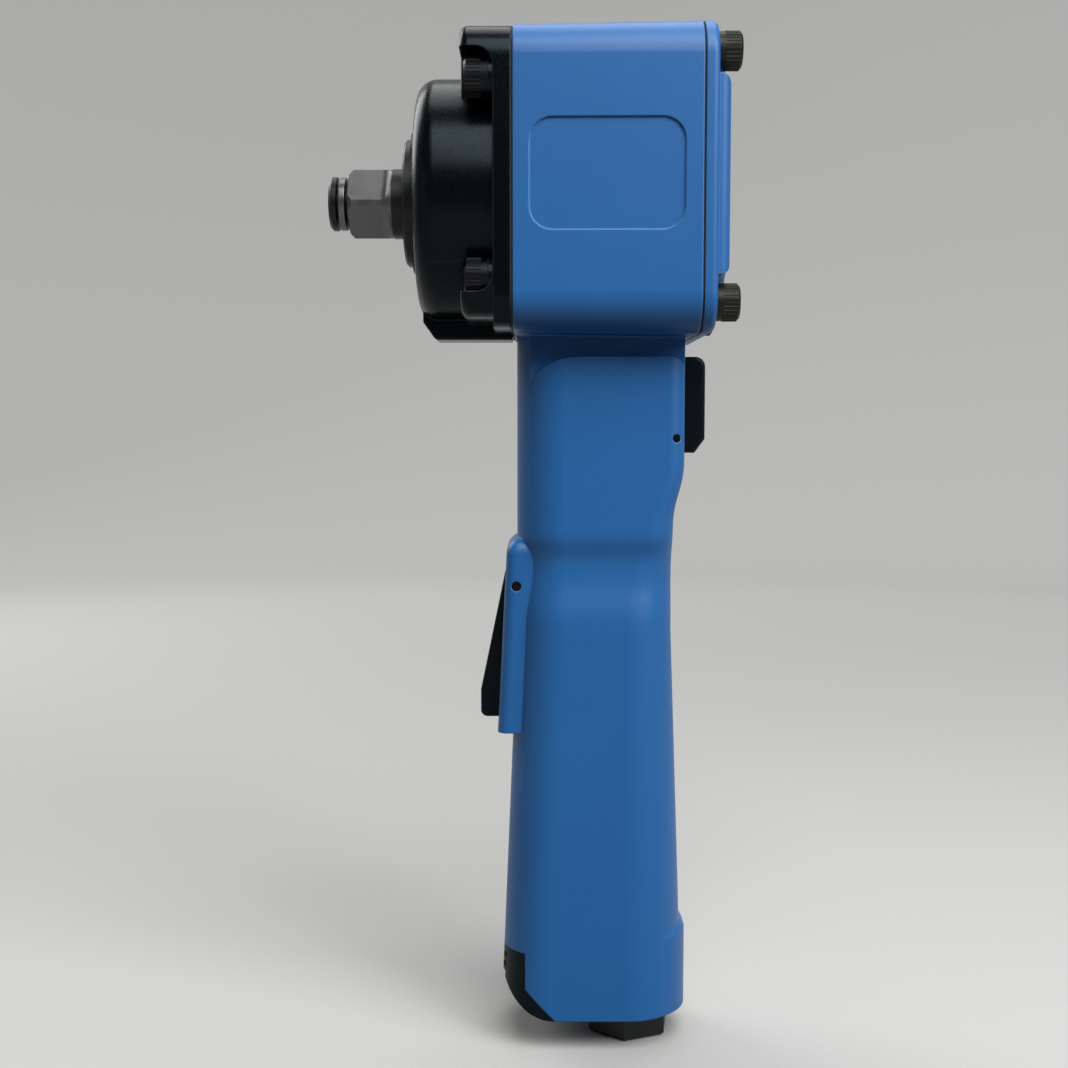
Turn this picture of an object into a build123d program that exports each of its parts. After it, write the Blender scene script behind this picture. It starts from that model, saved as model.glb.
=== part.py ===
"""Air impact wrench with a half-inch square drive.

The head holds a vane motor and a hammer that strikes the anvil; the handle holds the throttle and
reverse valves, the air inlet and the exhaust.  The anvil's axis is X with the drive pointing to -X,
Z runs up the handle and Y runs across it.  The origin is on the anvil's axis, at the shoulder where
a socket seats.  All sizes are in millimetres.
"""
import os
from math import cos, pi, radians, sin, sqrt, tan

from build123d import *

os.makedirs("parts", exist_ok=True)

# Fits and clearances
press_gap = 0.02  # rings, bushes and pins held tight in their seats
run_gap = 0.05  # shafts that turn or slide in their bores
face_gap = 0.1  # end faces of turning pieces
push_gap = 0.3  # levers, pins and valves that push each other
slot_gap = 0.4  # levers beside the walls of their slots

# Square drive and the rest of the anvil
square_flats = 12.7
square_corners = 16.5
square_len = 10.8
square_runout = 2.8
square_chamfer = 1.0
square_turn = 6.0  # from corners straight up and down
pilot_d = 13.0
pilot_len = 4.8
pilot_chamfer = 0.7
ring_groove_len = 2.8
ring_groove_d = 8.0
ring_groove_set = 0.2
socket_ring_len = 1.6
socket_ring_t = 1.25
socket_ring_slit = 1.4
oring_wire = 1.1
shank_d = 16.8
collar_d = 22.4
anvil_core_d = 18.6
anvil_jaw_reach = 12.2
anvil_jaw_width = 7.0
anvil_tail_d = 9.0
anvil_tail_len = 2.2

# Head, seen along the anvil's axis
head_width = 61.2
head_height = 69.0
head_corner = 8.0
head_draft = 1.0
motor_offset = 2.2  # the head and the motor liner sit this far above the anvil's axis
edge_break = 0.6

# Head, along the anvil's axis
nose_gap = 3.0
bush_flange_len = 3.3
case_len = 22.7
front_gasket_t = 0.5
head_len = 42.9
rear_gasket_t = 0.5
gasket_inset = 0.4
cover_flange_t = 3.1
cover_rise = 2.9

# Hammer case
case_wall = 4.0
case_set = 0.4  # lower at the top and higher at the bottom than the head
drum_round = 5.0
cavity_step = 0.3  # the hammer's cavity is this much wider than the motor's bore
case_front_wall = 4.5
lug_len = 11.6
lug_lift = 2.2  # the lugs end this far above the flange's foot
lug_round = 2.0
flange_plate_t = 4.0
pocket_roof = 6.4
pocket_floor = 8.3
pocket_roof_round = 4.2
pocket_floor_round = 4.0
pocket_depth = 9.8
web_round = 1.0
keel_width = 12.0
keel_depth = 4.2  # below the drum
keel_set = 1.0
keel_slope = 3.0
keel_round = 1.5
keel_edge = 0.6

# Front bush, seal and thrust washer
bush_flange_d = 33.8
bush_step_d = 30.6
bush_step_len = 1.8
bush_wall = 3.55
bush_len = 11.1
hub_wall = 4.0
seal_section = 2.3
seal_len = 1.6
seal_recess = 0.2
thrust_t = 0.5

# Cap screws and lock washers
screw_d = 5.0
screw_head_d = 8.5
screw_head_len = 4.4
screw_head_edge = 0.5
screw_grip = 10.0
screw_hole_end = 1.0
screw_room = 1.6  # round the rear washers
front_screw_room = 0.15
front_screw_boss = 1.2
front_screw_drop = 0.4
hex_key = 4.0
hex_key_depth = 2.4
washer_d = 8.6
washer_t = 1.0
washer_slit = 0.7
front_screw_edge_y = 4.5  # from the head's side to the screw's axis
front_screw_edge_z = 12.2
rear_screw_edge_y = 6.1
rear_screw_edge_z = 6.2

# Rear cover
cover_edge = 1.5
cover_inset = 2.0
cover_end_set = 1.3
cover_step = 0.4  # below the rounded edge
cover_recess_d = 40.0
cover_recess = 3.6

# Bare recessed plate on each side of the head
plate_height = 25.0
plate_corner = 5.2
plate_depth = 0.5
plate_set = 3.7
plate_end_set = 4.0

# Air motor
head_wall = 5.6
liner_wall = 4.0
liner_len = 19.4
rotor_gap = 0.3
end_plate_t = 7.0
bearing_seat_wall = 1.0
vane_count = 6
vane_t = 2.1
vane_depth = 9.0
vane_side_gap = 0.1
vane_root_gap = 0.4
dowel_d = 3.0
dowel_edge = 2.0

# Ball bearings of the rotor
bearing_bore = 12.0
bearing_d = 24.0
bearing_ring_t = 1.9
ball_d = 3.4
ball_count = 9
ball_gap = 0.04

# Hammer and its cage
cage_gap = 0.6
cage_front_t = 3.4
cage_rear_t = 6.4
cage_web_t = 3.0
cage_web_height = 26.0
hammer_jaw_gap = 0.5
hammer_jaw_width = 9.0
hammer_pin_d = 4.8
hammer_pin_edge = 0.8
spline_root_d = 9.6
spline_tip_d = 11.6
spline_teeth = 8
spline_tooth_t = 1.6

# Handle, measured down from the head and in from the head's ends
handle_inset = 0.7
handle_back_inset = 1.9
handle_round = 11.0
neck_len = 5.8
neck_width = 26.4
neck_fillet = 0.6
pad_len = 23.9
pad_width = 32.8
pad_front_round = 14.5
pad_rear_round = 4.0
pad_back_edge = 4.0
pad_run = 17.0
pad_tail = 17.8
waist_drop = 26.2
waist_inset = 2.4
waist_width = 29.4
waist_steps = 20
grip_drop = 15.8
grip_width = 33.0
grip_len = 95.9
base_lead = 4.0
base_width = 34.4
base_back_lead = 1.2
base_back_flat = 2.5
heel_height = 22.5
heel_step = 0.6
heel_inset = 1.5
heel_slope = 3.0
heel_ramp = 1.6

# Trigger and its hood, in front of the grip
hood_drop = 19.5
hood_width = 24.0
hood_top_lead = 2.4
hood_bottom_lead = 4.8
hood_round = 2.6
hood_top_round = 4.0
hood_floor = 1.5
hood_foot_gap = 1.4
pivot_drop = 11.8
pivot_lead = 0.2
trigger_width = 11.6
trigger_pin_d = 2.4
trigger_eye_r = 3.2
trigger_lead = 8.9
trigger_arm = 26.5
trigger_len = 33.3
trigger_heel = 4.5
trigger_heel_rise = 5.6
trigger_back = 1.0
trigger_top_lead = 3.0
trigger_top_rise = 2.2
trigger_round = 1.6
trigger_edge = 0.8
pin_recess = 0.6

# Throttle: pushed pin, tilting valve, seat and spring
push_arm = 23.7
push_pin_d = 3.9
push_pin_round = 1.5
push_bush_wall = 1.2
valve_stem_d = 3.2
valve_stem_below = 19.0  # from the pushed pin down to the valve's seat
valve_stem_above = 3.0
valve_disc_d = 10.8
valve_disc_t = 3.0
valve_seat_t = 3.0
valve_seat_hole = 8.0
feed_bore = 12.0
chamber_bore = 13.4
throttle_spring_d = 8.6
throttle_spring_wire = 0.9
throttle_spring_len = 20.0
throttle_spring_turns = 6

# Air inlet and its screen
inlet_set = 12.1  # from the handle's back
inlet_hex = 19.0
inlet_hex_len = 7.2
inlet_hex_turn = 22.0
inlet_chamfer = 0.9
inlet_body_d = 16.0
inlet_body_len = 17.0
inlet_thread_d = 11.5
inlet_thread_len = 14.0
inlet_bore = 8.0
inlet_seal_t = 1.0
inlet_seal_d = 20.0
screen_d = 10.6
screen_wall = 0.8
screen_rim_t = 1.0
screen_hole_d = 1.6
screen_hole_rows = 4
screen_holes = 8

# Reverse valve and its thumb paddle, behind the neck
paddle_drop = 5.3
paddle_len = 23.4
paddle_t = 5.8
paddle_width = 14.0
paddle_sink = 0.2
paddle_round = 2.4
paddle_edge = 1.0
paddle_swing_gap = 1.0  # above the paddle, which rises as it is pressed
paddle_foot = 3.4
paddle_foot_run = 2.5
paddle_pivot_rise = 3.6
paddle_pivot_depth = 2.2
paddle_pin_d = 2.0
paddle_eye_r = 3.0
spool_arm = 10.4
spool_d = 5.9
spool_round = 1.2
spool_len = 19.3
spool_waist_d = 3.6
spool_waist_len = 7.0
spool_ring_wire = 0.6
spool_ring_set = 1.5
sleeve_wall = 1.5
sleeve_lead = 3.2
port_d = 4.4
port_set = 7.3
port_span = 7.6
reverse_spring_d = 5.2
reverse_spring_wire = 0.6
reverse_spring_len = 6.0
reverse_spring_turns = 5

# Exhaust: two passages, a felt muffler and a louvred deflector
exhaust_set = 2.5
exhaust_span = 17.6
exhaust_d = 6.0
deflector_height = 16.4
deflector_depth = 5.9
deflector_corner = 7.5
deflector_run = 13.3
deflector_bulge = 5.4
louvre_count = 3
louvre_t = 1.4
louvre_pitch = 2.4
louvre_width = 20.0
muffler_width = 24.0
muffler_height = 7.0
muffler_end = 1.8
muffler_gap = 0.2

# Places along the anvil's axis that the sizes above give
x_nose = nose_gap + bush_flange_len
x_joint = x_nose + case_len
x_keel = x_nose + keel_set
x_head = x_joint + front_gasket_t
x_rear = x_head + head_len
x_cover = x_rear + rear_gasket_t
x_cover_flange = x_cover + cover_flange_t
x_cover_end = x_cover_flange + cover_rise
x_lug = x_joint - lug_len
x_plate = x_joint - flange_plate_t
x_front_seat = x_plate - front_screw_boss
x_bush_end = x_nose + bush_len
x_rear_plate = x_rear - end_plate_t
x_liner = x_rear_plate - liner_len
x_front_plate = x_liner - end_plate_t
x_collar = x_bush_end + thrust_t + face_gap
x_cage = x_bush_end + cage_gap
x_hammer = x_cage + cage_front_t + face_gap
x_cage_end = x_front_plate - cage_gap
x_cage_rear = x_cage_end - cage_rear_t
x_anvil_end = x_cage_rear - face_gap
x_tail_end = x_anvil_end + anvil_tail_len
x_rotor = x_liner + face_gap
x_rotor_end = x_rear_plate - face_gap
x_ring = -square_len - ring_groove_set - ring_groove_len / 2

# Sizes and places in the head, across the anvil's axis
liner_d = head_width - 2 * head_wall
liner_bore = liner_d - 2 * liner_wall
case_cavity_d = liner_d + 2 * cavity_step
drum_d = case_cavity_d + 2 * case_wall
bush_d = shank_d + 2 * run_gap + 2 * bush_wall
hub_d = bush_d + 2 * hub_wall
seal_d = shank_d + 2 * run_gap + 2 * seal_section
rotor_r = liner_bore / 2 - motor_offset - rotor_gap
cage_r = case_cavity_d / 2 - cage_gap
cage_eye_d = 2 * (anvil_jaw_reach + cage_gap)
hammer_d = 2 * (cage_r - cage_web_t - slot_gap)
hammer_bore = 2 * (anvil_jaw_reach + hammer_jaw_gap)
hammer_jaw_reach = anvil_core_d / 2 + cage_gap
hammer_pin_span = 2 * (cage_r - hammer_pin_edge) - hammer_pin_d
ring_inner_r = ring_groove_d / 2 + oring_wire + 2 * press_gap
head_top = motor_offset + head_height / 2
z_floor = motor_offset - head_height / 2
draft_grow = head_len * tan(radians(head_draft))
dowel_z = motor_offset + liner_d / 2 - dowel_edge
bearing_len = end_plate_t - bearing_seat_wall
pin_places = [(0, hammer_pin_span / 2), (0, -hammer_pin_span / 2)]
front_screw_y = head_width / 2 - front_screw_edge_y
front_screw_z = head_height / 2 - front_screw_edge_z
rear_screw_y = head_width / 2 - rear_screw_edge_y
rear_screw_z = head_height / 2 - rear_screw_edge_z
plate_len = head_len - plate_set - plate_end_set
front_screws = [
    (y, motor_offset - front_screw_drop + z)
    for y in (-front_screw_y, front_screw_y)
    for z in (-front_screw_z, front_screw_z)
]
rear_screws = [
    (y, motor_offset + z)
    for y in (-rear_screw_y, rear_screw_y)
    for z in (-rear_screw_z, rear_screw_z)
]
screw_room_d = washer_d + 2 * screw_room
front_room_d = washer_d + 2 * front_screw_room
cover_round = cover_rise - cover_step

# Heights in the handle
hood_len = pivot_drop + trigger_len + hood_foot_gap + hood_floor
z_pad = z_floor - neck_len
z_pad_foot = z_pad - pad_len
z_waist = z_pad_foot - waist_drop
z_grip = z_waist - grip_drop
z_base = z_grip - grip_len
z_hood = z_pad_foot - hood_drop
z_hood_end = z_hood - hood_len
z_pivot = z_hood - pivot_drop
z_push = z_pivot - push_arm
z_valve = z_push - valve_stem_below
z_spring_top = z_valve - valve_disc_t - face_gap
z_screen = z_spring_top - throttle_spring_len - face_gap
z_inlet = z_base + inlet_body_len
z_hex = z_base - inlet_seal_t
z_inlet_end = z_hex - inlet_hex_len
z_paddle = z_floor - paddle_drop
z_paddle_end = z_paddle - paddle_len
z_paddle_pivot = z_paddle_end + paddle_pivot_rise
z_spool = z_paddle_pivot + spool_arm
z_muffler = z_base + deflector_height - muffler_gap

# Places front to back in the handle
x_front = x_head + handle_inset
x_back = x_rear - handle_back_inset
handle_depth = x_back - x_front
waist_depth = handle_depth - waist_inset
x_base = x_front - base_lead
x_base_back = x_back + base_back_lead
x_heel = x_base_back + heel_step
x_pivot = x_front - pivot_lead
x_slot = x_pivot + trigger_eye_r + slot_gap
x_trigger_back = x_pivot - trigger_back
x_inlet = x_back - inlet_set
x_stem = x_inlet - valve_stem_d / 2
x_push = x_trigger_back + push_gap
x_push_end = x_stem - push_gap
x_push_bush_end = x_inlet - feed_bore / 2
x_paddle = x_back - paddle_sink
x_paddle_back = x_paddle + paddle_t
x_paddle_pivot = x_back - paddle_pivot_depth
x_paddle_slot = x_paddle_pivot - paddle_eye_r - slot_gap
x_spool_end = x_paddle - push_gap
x_spool = x_spool_end - spool_len
x_ports = x_rear_plate - port_set
x_sleeve = x_ports - (port_span + port_d) / 2 - sleeve_lead
x_spring = x_spool - face_gap - reverse_spring_len
x_exhaust = x_liner + exhaust_set
x_notch = x_base + deflector_depth
muffler_len = x_exhaust - x_notch - muffler_end
paddle_pin_rise = max(pad_back_edge - paddle_pivot_depth, 0)
paddle_pin_half = pad_width / 2 - pad_back_edge + sqrt(pad_back_edge**2 - paddle_pin_rise**2)
base_back_round = base_width / 2 - base_back_flat
spool_bore = spool_d + 2 * run_gap
sleeve_d = spool_bore + 2 * sleeve_wall
push_bush_bore = push_pin_d + 2 * run_gap
push_bush_d = push_bush_bore + 2 * push_bush_wall
ports = [x_ports - port_span / 2, x_ports + port_span / 2]
exhausts = [-exhaust_span / 2, exhaust_span / 2]

START = (Align.CENTER, Align.CENTER, Align.MIN)


def bar(x_from, x_to, diameter, y=0.0, z=0.0, mode=Mode.ADD):
    """A round bar along X, or a bore where the mode takes it away."""
    with Locations(Plane((x_from, y, z), x_dir=(0, 1, 0), z_dir=(1, 0, 0))):
        Cylinder(diameter / 2, x_to - x_from, align=START, mode=mode)


def column(z_from, z_to, diameter, x, y=0.0, mode=Mode.ADD):
    """A round bar standing on z_from, or a bore where the mode takes it away."""
    with Locations((x, y, z_from)):
        Cylinder(diameter / 2, z_to - z_from, align=START, mode=mode)


def cross_pin(length, diameter, x, z, mode=Mode.ADD):
    """A round pin across the handle, or its hole where the mode takes it away."""
    with Locations(Plane((x, 0, z), x_dir=(1, 0, 0), z_dir=(0, 1, 0))):
        Cylinder(diameter / 2, length, mode=mode)


def head_outline(grow=0.0):
    """Outline of the head, drawn across the anvil's axis."""
    with Locations((0, motor_offset)):
        RectangleRounded(head_width + 2 * grow, head_height + 2 * grow, head_corner + grow)


def grip_section(section, front, back, width, back_round):
    """Section of the handle at the height of its sketch, with its own round at the back."""
    with Locations(((front + back) / 2, 0)):
        Rectangle(back - front, width)
    fillet(section.vertices().group_by(Axis.X)[0], handle_round)
    fillet(section.vertices().group_by(Axis.X)[-1], back_round)


def ease(share):
    """Share of a smooth change that starts and ends level and straight."""
    share = min(max(share, 0), 1)
    return share**3 * (10 - 15 * share + 6 * share**2)


def spline_outline(gap):
    """Splined outline shared by the rotor's nose and the hub of the hammer cage."""
    Circle(spline_root_d / 2 + gap)
    tooth_len = spline_tip_d / 2 + gap - spline_root_d / 4
    with PolarLocations(spline_root_d / 4 + tooth_len / 2, spline_teeth):
        Rectangle(tooth_len, spline_tooth_t + 2 * gap)


def coil_points(start, along, across, radius, length, turns):
    """Points and directions at each quarter turn of a spring's wire."""
    third = along.cross(across)
    steps = 4 * turns
    places = []
    for step in range(steps + 1):
        angle = pi * step / 2
        outward = across * cos(angle) + third * sin(angle)
        sideways = third * cos(angle) - across * sin(angle)
        place = start + along * (length * step / steps) + outward * radius
        heading = (sideways * (radius * pi / 2) + along * (length / steps)).normalized()
        places.append((place, heading))
    return places


def coil_path(places):
    """The wire's centre line: two tangent arcs for each quarter turn."""
    for (p_from, t_from), (p_to, t_to) in zip(places, places[1:]):
        chord = p_to - p_from
        spread = 2 * (1 - t_from.dot(t_to))
        lean = chord.dot(t_from + t_to)
        reach = (sqrt(lean * lean + spread * chord.dot(chord)) - lean) / spread
        middle = (p_from + p_to + (t_from - t_to) * reach) * 0.5
        first = TangentArc(p_from, middle, tangent=t_from)
        TangentArc(middle, p_to, tangent=first % 1)


def coil_gap(places, wire):
    """Least gap between one turn of a spring's wire and the next."""
    return min((b[0] - a[0]).length for a, b in zip(places, places[4:])) - wire


# Anvil: square drive, pilot with its ring groove, shank, jaw and tail
with BuildPart() as anvil:
    bar(-square_len, 0, square_corners)
    chamfer(anvil.edges().sort_by(Axis.X)[0], square_chamfer)
    for quarter in range(4):
        angle = radians(45 + 90 * quarter + square_turn)
        outward = Vector(0, cos(angle), sin(angle))
        with BuildSketch(Plane((0, 0, 0), x_dir=(1, 0, 0), z_dir=Vector(1, 0, 0).cross(outward))) as flat:
            with Locations((0, square_flats / 2)):
                Rectangle(square_len, square_corners, align=(Align.MAX, Align.MIN))
            fillet(flat.vertices().group_by(Axis.X)[-1].sort_by(Axis.Y)[0], square_runout)
        extrude(amount=square_corners, both=True, mode=Mode.SUBTRACT)
    bar(-square_len - pilot_len, -square_len, pilot_d)
    chamfer(anvil.edges().sort_by(Axis.X)[0], pilot_chamfer)
    with BuildSketch(Plane.YZ.offset(x_ring - ring_groove_len / 2)):
        Circle(pilot_d)
        Circle(ring_groove_d / 2, mode=Mode.SUBTRACT)
    extrude(amount=ring_groove_len, mode=Mode.SUBTRACT)
    bar(0, x_collar, shank_d)
    bar(x_collar, x_hammer, collar_d)
    bar(x_hammer, x_anvil_end, anvil_core_d)
    with BuildSketch(Plane.YZ.offset(x_hammer)):
        Rectangle(anvil_jaw_width, anvil_jaw_reach, align=(Align.CENTER, Align.MIN))
    extrude(amount=x_anvil_end - x_hammer)
    bar(x_anvil_end, x_tail_end, anvil_tail_d)
anvil.part.label = "anvil"
export_step(anvil.part, "parts/anvil.step")

# Rubber ring under the friction ring, and the split friction ring that grips a socket
with BuildPart() as socket_ring_oring:
    with Locations(Plane.YZ.offset(x_ring)):
        Torus(ring_groove_d / 2 + press_gap + oring_wire / 2, oring_wire / 2)
socket_ring_oring.part.label = "socket_ring_oring"
export_step(socket_ring_oring.part, "parts/socket_ring_oring.step")

with BuildPart() as socket_ring:
    ring_half = socket_ring_len / 2
    bar(x_ring - ring_half, x_ring + ring_half, 2 * (ring_inner_r + socket_ring_t))
    bar(x_ring - ring_half, x_ring + ring_half, 2 * ring_inner_r, mode=Mode.SUBTRACT)
    with Locations((x_ring, ring_inner_r + socket_ring_t / 2, 0)):
        Box(2 * ring_half, 2 * socket_ring_t, socket_ring_slit, mode=Mode.SUBTRACT)
    fillet(socket_ring.edges().filter_by(GeomType.CIRCLE), socket_ring_t / 5)
socket_ring.part.label = "socket_ring"
export_step(socket_ring.part, "parts/socket_ring.step")

# Keel under the drum
with BuildPart() as keel:
    with BuildSketch(Plane.XZ) as keel_side:
        with BuildLine():
            Polyline(
                (x_joint, 0),
                (x_keel, 0),
                (x_keel, -drum_d / 2),
                (x_keel + keel_slope, -drum_d / 2 - keel_depth),
                (x_joint, -drum_d / 2 - keel_depth),
                close=True,
            )
        make_face()
        fillet(keel_side.vertices().group_by(Axis.Y)[0].sort_by(Axis.X)[0], keel_round)
    extrude(amount=keel_width / 2, both=True)
    fillet(keel.edges().filter_by(Axis.X).group_by(Axis.Z)[0], keel_edge)

# Hammer case: drum, square flange, lugs with screw pockets, keel and the hub for the bush
with BuildPart() as hammer_case:
    with BuildSketch(Plane.YZ.offset(x_lug)):
        with Locations((0, motor_offset + lug_lift / 2)):
            RectangleRounded(head_width, head_height - 2 * case_set - lug_lift, head_corner)
    extrude(amount=x_plate - x_lug)
    fillet(hammer_case.faces().sort_by(Axis.X)[0].edges(), lug_round)
    with BuildSketch(Plane.YZ.offset(x_plate)):
        with Locations((0, motor_offset)):
            RectangleRounded(head_width, head_height - 2 * case_set, head_corner)
    extrude(amount=flange_plate_t)
    web_half = head_width / 2 - pocket_depth
    for side in (-1, 1):
        with BuildSketch(Plane.XZ.offset(side * web_half)) as pocket:
            with Locations((x_plate, head_top - pocket_roof)):
                Rectangle(
                    lug_len,
                    head_height - pocket_roof - pocket_floor,
                    align=(Align.MAX, Align.MAX),
                )
            back_corners = pocket.vertices().group_by(Axis.X)[-1].sort_by(Axis.Y)
            fillet(back_corners[-1], pocket_roof_round)
            fillet(pocket.vertices().group_by(Axis.X)[-1].sort_by(Axis.Y)[0], pocket_floor_round)
        extrude(amount=side * pocket_depth, mode=Mode.SUBTRACT)
    web_edges = hammer_case.edges().filter_by(Axis.Z).group_by(Axis.X)[0]
    fillet(web_edges.filter_by(lambda e: abs(e.center().Y) < web_half + lug_round), web_round)
    bar(x_nose, x_joint, drum_d)
    fillet(hammer_case.edges().filter_by(GeomType.CIRCLE).sort_by(Axis.X)[0], drum_round)
    add(keel.part)
    for y, z in front_screws:
        bar(x_nose - drum_round, x_front_seat, front_room_d, y, z, mode=Mode.SUBTRACT)
        bar(x_front_seat, x_plate, front_room_d, y, z)
        bar(x_front_seat, x_joint, screw_d + 2 * slot_gap, y, z, mode=Mode.SUBTRACT)
    bar(x_nose + case_front_wall, x_joint, case_cavity_d, mode=Mode.SUBTRACT)
    bar(x_nose, x_bush_end, hub_d)
    bar(x_nose, x_bush_end, bush_d + 2 * press_gap, mode=Mode.SUBTRACT)
hammer_case.part.label = "hammer_case"
export_step(hammer_case.part, "parts/hammer_case.step")

# Stepped front bush that carries the anvil, with its lip seal and thrust washer
with BuildPart() as front_bush:
    bar(nose_gap, nose_gap + bush_step_len, bush_step_d)
    bar(nose_gap + bush_step_len, x_nose, bush_flange_d)
    chamfer(front_bush.edges().group_by(Axis.X)[0], edge_break)
    bar(x_nose, x_bush_end, bush_d)
    bar(nose_gap, x_bush_end, shank_d + 2 * run_gap, mode=Mode.SUBTRACT)
    bar(nose_gap, nose_gap + seal_recess + seal_len, seal_d + 2 * press_gap, mode=Mode.SUBTRACT)
front_bush.part.label = "front_bush"
export_step(front_bush.part, "parts/front_bush.step")

with BuildPart() as anvil_seal:
    bar(nose_gap + seal_recess, nose_gap + seal_recess + seal_len, seal_d)
    bar(nose_gap, nose_gap + seal_recess + seal_len, shank_d + 2 * run_gap, mode=Mode.SUBTRACT)
anvil_seal.part.label = "anvil_seal"
export_step(anvil_seal.part, "parts/anvil_seal.step")

with BuildPart() as thrust_washer:
    bar(x_bush_end, x_bush_end + thrust_t, collar_d)
    bar(x_bush_end, x_bush_end + thrust_t, shank_d + 2 * run_gap, mode=Mode.SUBTRACT)
thrust_washer.part.label = "thrust_washer"
export_step(thrust_washer.part, "parts/thrust_washer.step")

# Hammer cage: two end plates joined by curved webs, splined to the rotor
with BuildPart() as hammer_cage:
    bar(x_cage, x_cage + cage_front_t, 2 * cage_r)
    bar(x_cage_rear, x_cage_end, 2 * cage_r)
    with BuildSketch(Plane.YZ.offset(x_cage)):
        Circle(cage_r)
        Circle(cage_r - cage_web_t, mode=Mode.SUBTRACT)
        Rectangle(2 * cage_r, cage_web_height, mode=Mode.INTERSECT)
    extrude(amount=x_cage_end - x_cage)
    bar(x_cage, x_cage + cage_front_t, cage_eye_d, mode=Mode.SUBTRACT)
    bar(x_cage_rear, x_tail_end + face_gap, anvil_tail_d + 2 * run_gap, mode=Mode.SUBTRACT)
    with BuildSketch(Plane.YZ.offset(x_tail_end)):
        spline_outline(run_gap)
    extrude(amount=x_cage_end - x_tail_end, mode=Mode.SUBTRACT)
    for y, z in pin_places:
        bar(x_cage, x_cage_end, hammer_pin_d + 2 * press_gap, y, z, mode=Mode.SUBTRACT)
hammer_cage.part.label = "hammer_cage"
export_step(hammer_cage.part, "parts/hammer_cage.step")

# Hammer: a heavy ring with an inner jaw, held between the two pins
with BuildPart() as hammer:
    with BuildSketch(Plane.YZ.offset(x_hammer)):
        Circle(hammer_d / 2)
        Circle(hammer_bore / 2, mode=Mode.SUBTRACT)
        with Locations((-hammer_jaw_reach, 0)):
            Rectangle(
                hammer_d / 2 - hammer_jaw_reach,
                hammer_jaw_width,
                align=(Align.MAX, Align.CENTER),
            )
        Circle(hammer_d / 2, mode=Mode.INTERSECT)
        with Locations(*pin_places):
            Circle(hammer_pin_d / 2 + face_gap, mode=Mode.SUBTRACT)
    extrude(amount=x_cage_rear - face_gap - x_hammer)
hammer.part.label = "hammer"
export_step(hammer.part, "parts/hammer.step")

with BuildPart() as hammer_pins:
    for y, z in pin_places:
        bar(x_cage, x_cage_end, hammer_pin_d, y, z)
hammer_pins.part.label = "hammer_pins"
export_step(hammer_pins.part, "parts/hammer_pins.step")

# Rotor with its vane slots, journals and splined nose, and the vanes drawn in
with BuildPart() as rotor:
    slot_root = rotor_r - vane_depth - vane_root_gap
    with BuildSketch(Plane.YZ.offset(x_rotor)):
        Circle(rotor_r)
        with PolarLocations(slot_root + rotor_r / 2, vane_count):
            Rectangle(rotor_r, vane_t + 2 * vane_side_gap, mode=Mode.SUBTRACT)
    extrude(amount=x_rotor_end - x_rotor)
    bar(x_front_plate, x_rotor, bearing_bore - 2 * press_gap)
    bar(x_rotor_end, x_rear, bearing_bore - 2 * press_gap)
    with BuildSketch(Plane.YZ.offset(x_tail_end + face_gap)):
        spline_outline(0)
    extrude(amount=x_front_plate - x_tail_end - face_gap)
rotor.part.label = "rotor"
export_step(rotor.part, "parts/rotor.step")

with BuildPart() as rotor_vanes:
    with BuildSketch(Plane.YZ.offset(x_rotor)):
        with PolarLocations(rotor_r - vane_depth / 2, vane_count):
            Rectangle(vane_depth, vane_t)
        Circle(rotor_r, mode=Mode.INTERSECT)
    extrude(amount=x_rotor_end - x_rotor)
rotor_vanes.part.label = "rotor_vanes"
export_step(rotor_vanes.part, "parts/rotor_vanes.step")

# Motor liner with its ports, above the rotor's axis by the motor offset
with BuildPart() as motor_liner:
    bar(x_liner, x_rear_plate, liner_d - 2 * press_gap, z=motor_offset)
    bar(x_liner, x_rear_plate, liner_bore, z=motor_offset, mode=Mode.SUBTRACT)
    bar(x_liner, x_rear_plate, dowel_d + 2 * press_gap, z=dowel_z, mode=Mode.SUBTRACT)
    for x in ports:
        column(motor_offset - liner_d / 2, motor_offset, port_d, x, mode=Mode.SUBTRACT)
    for y in exhausts:
        column(motor_offset - liner_d / 2, motor_offset, port_d, x_exhaust, y, mode=Mode.SUBTRACT)
motor_liner.part.label = "motor_liner"
export_step(motor_liner.part, "parts/motor_liner.step")

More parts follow.
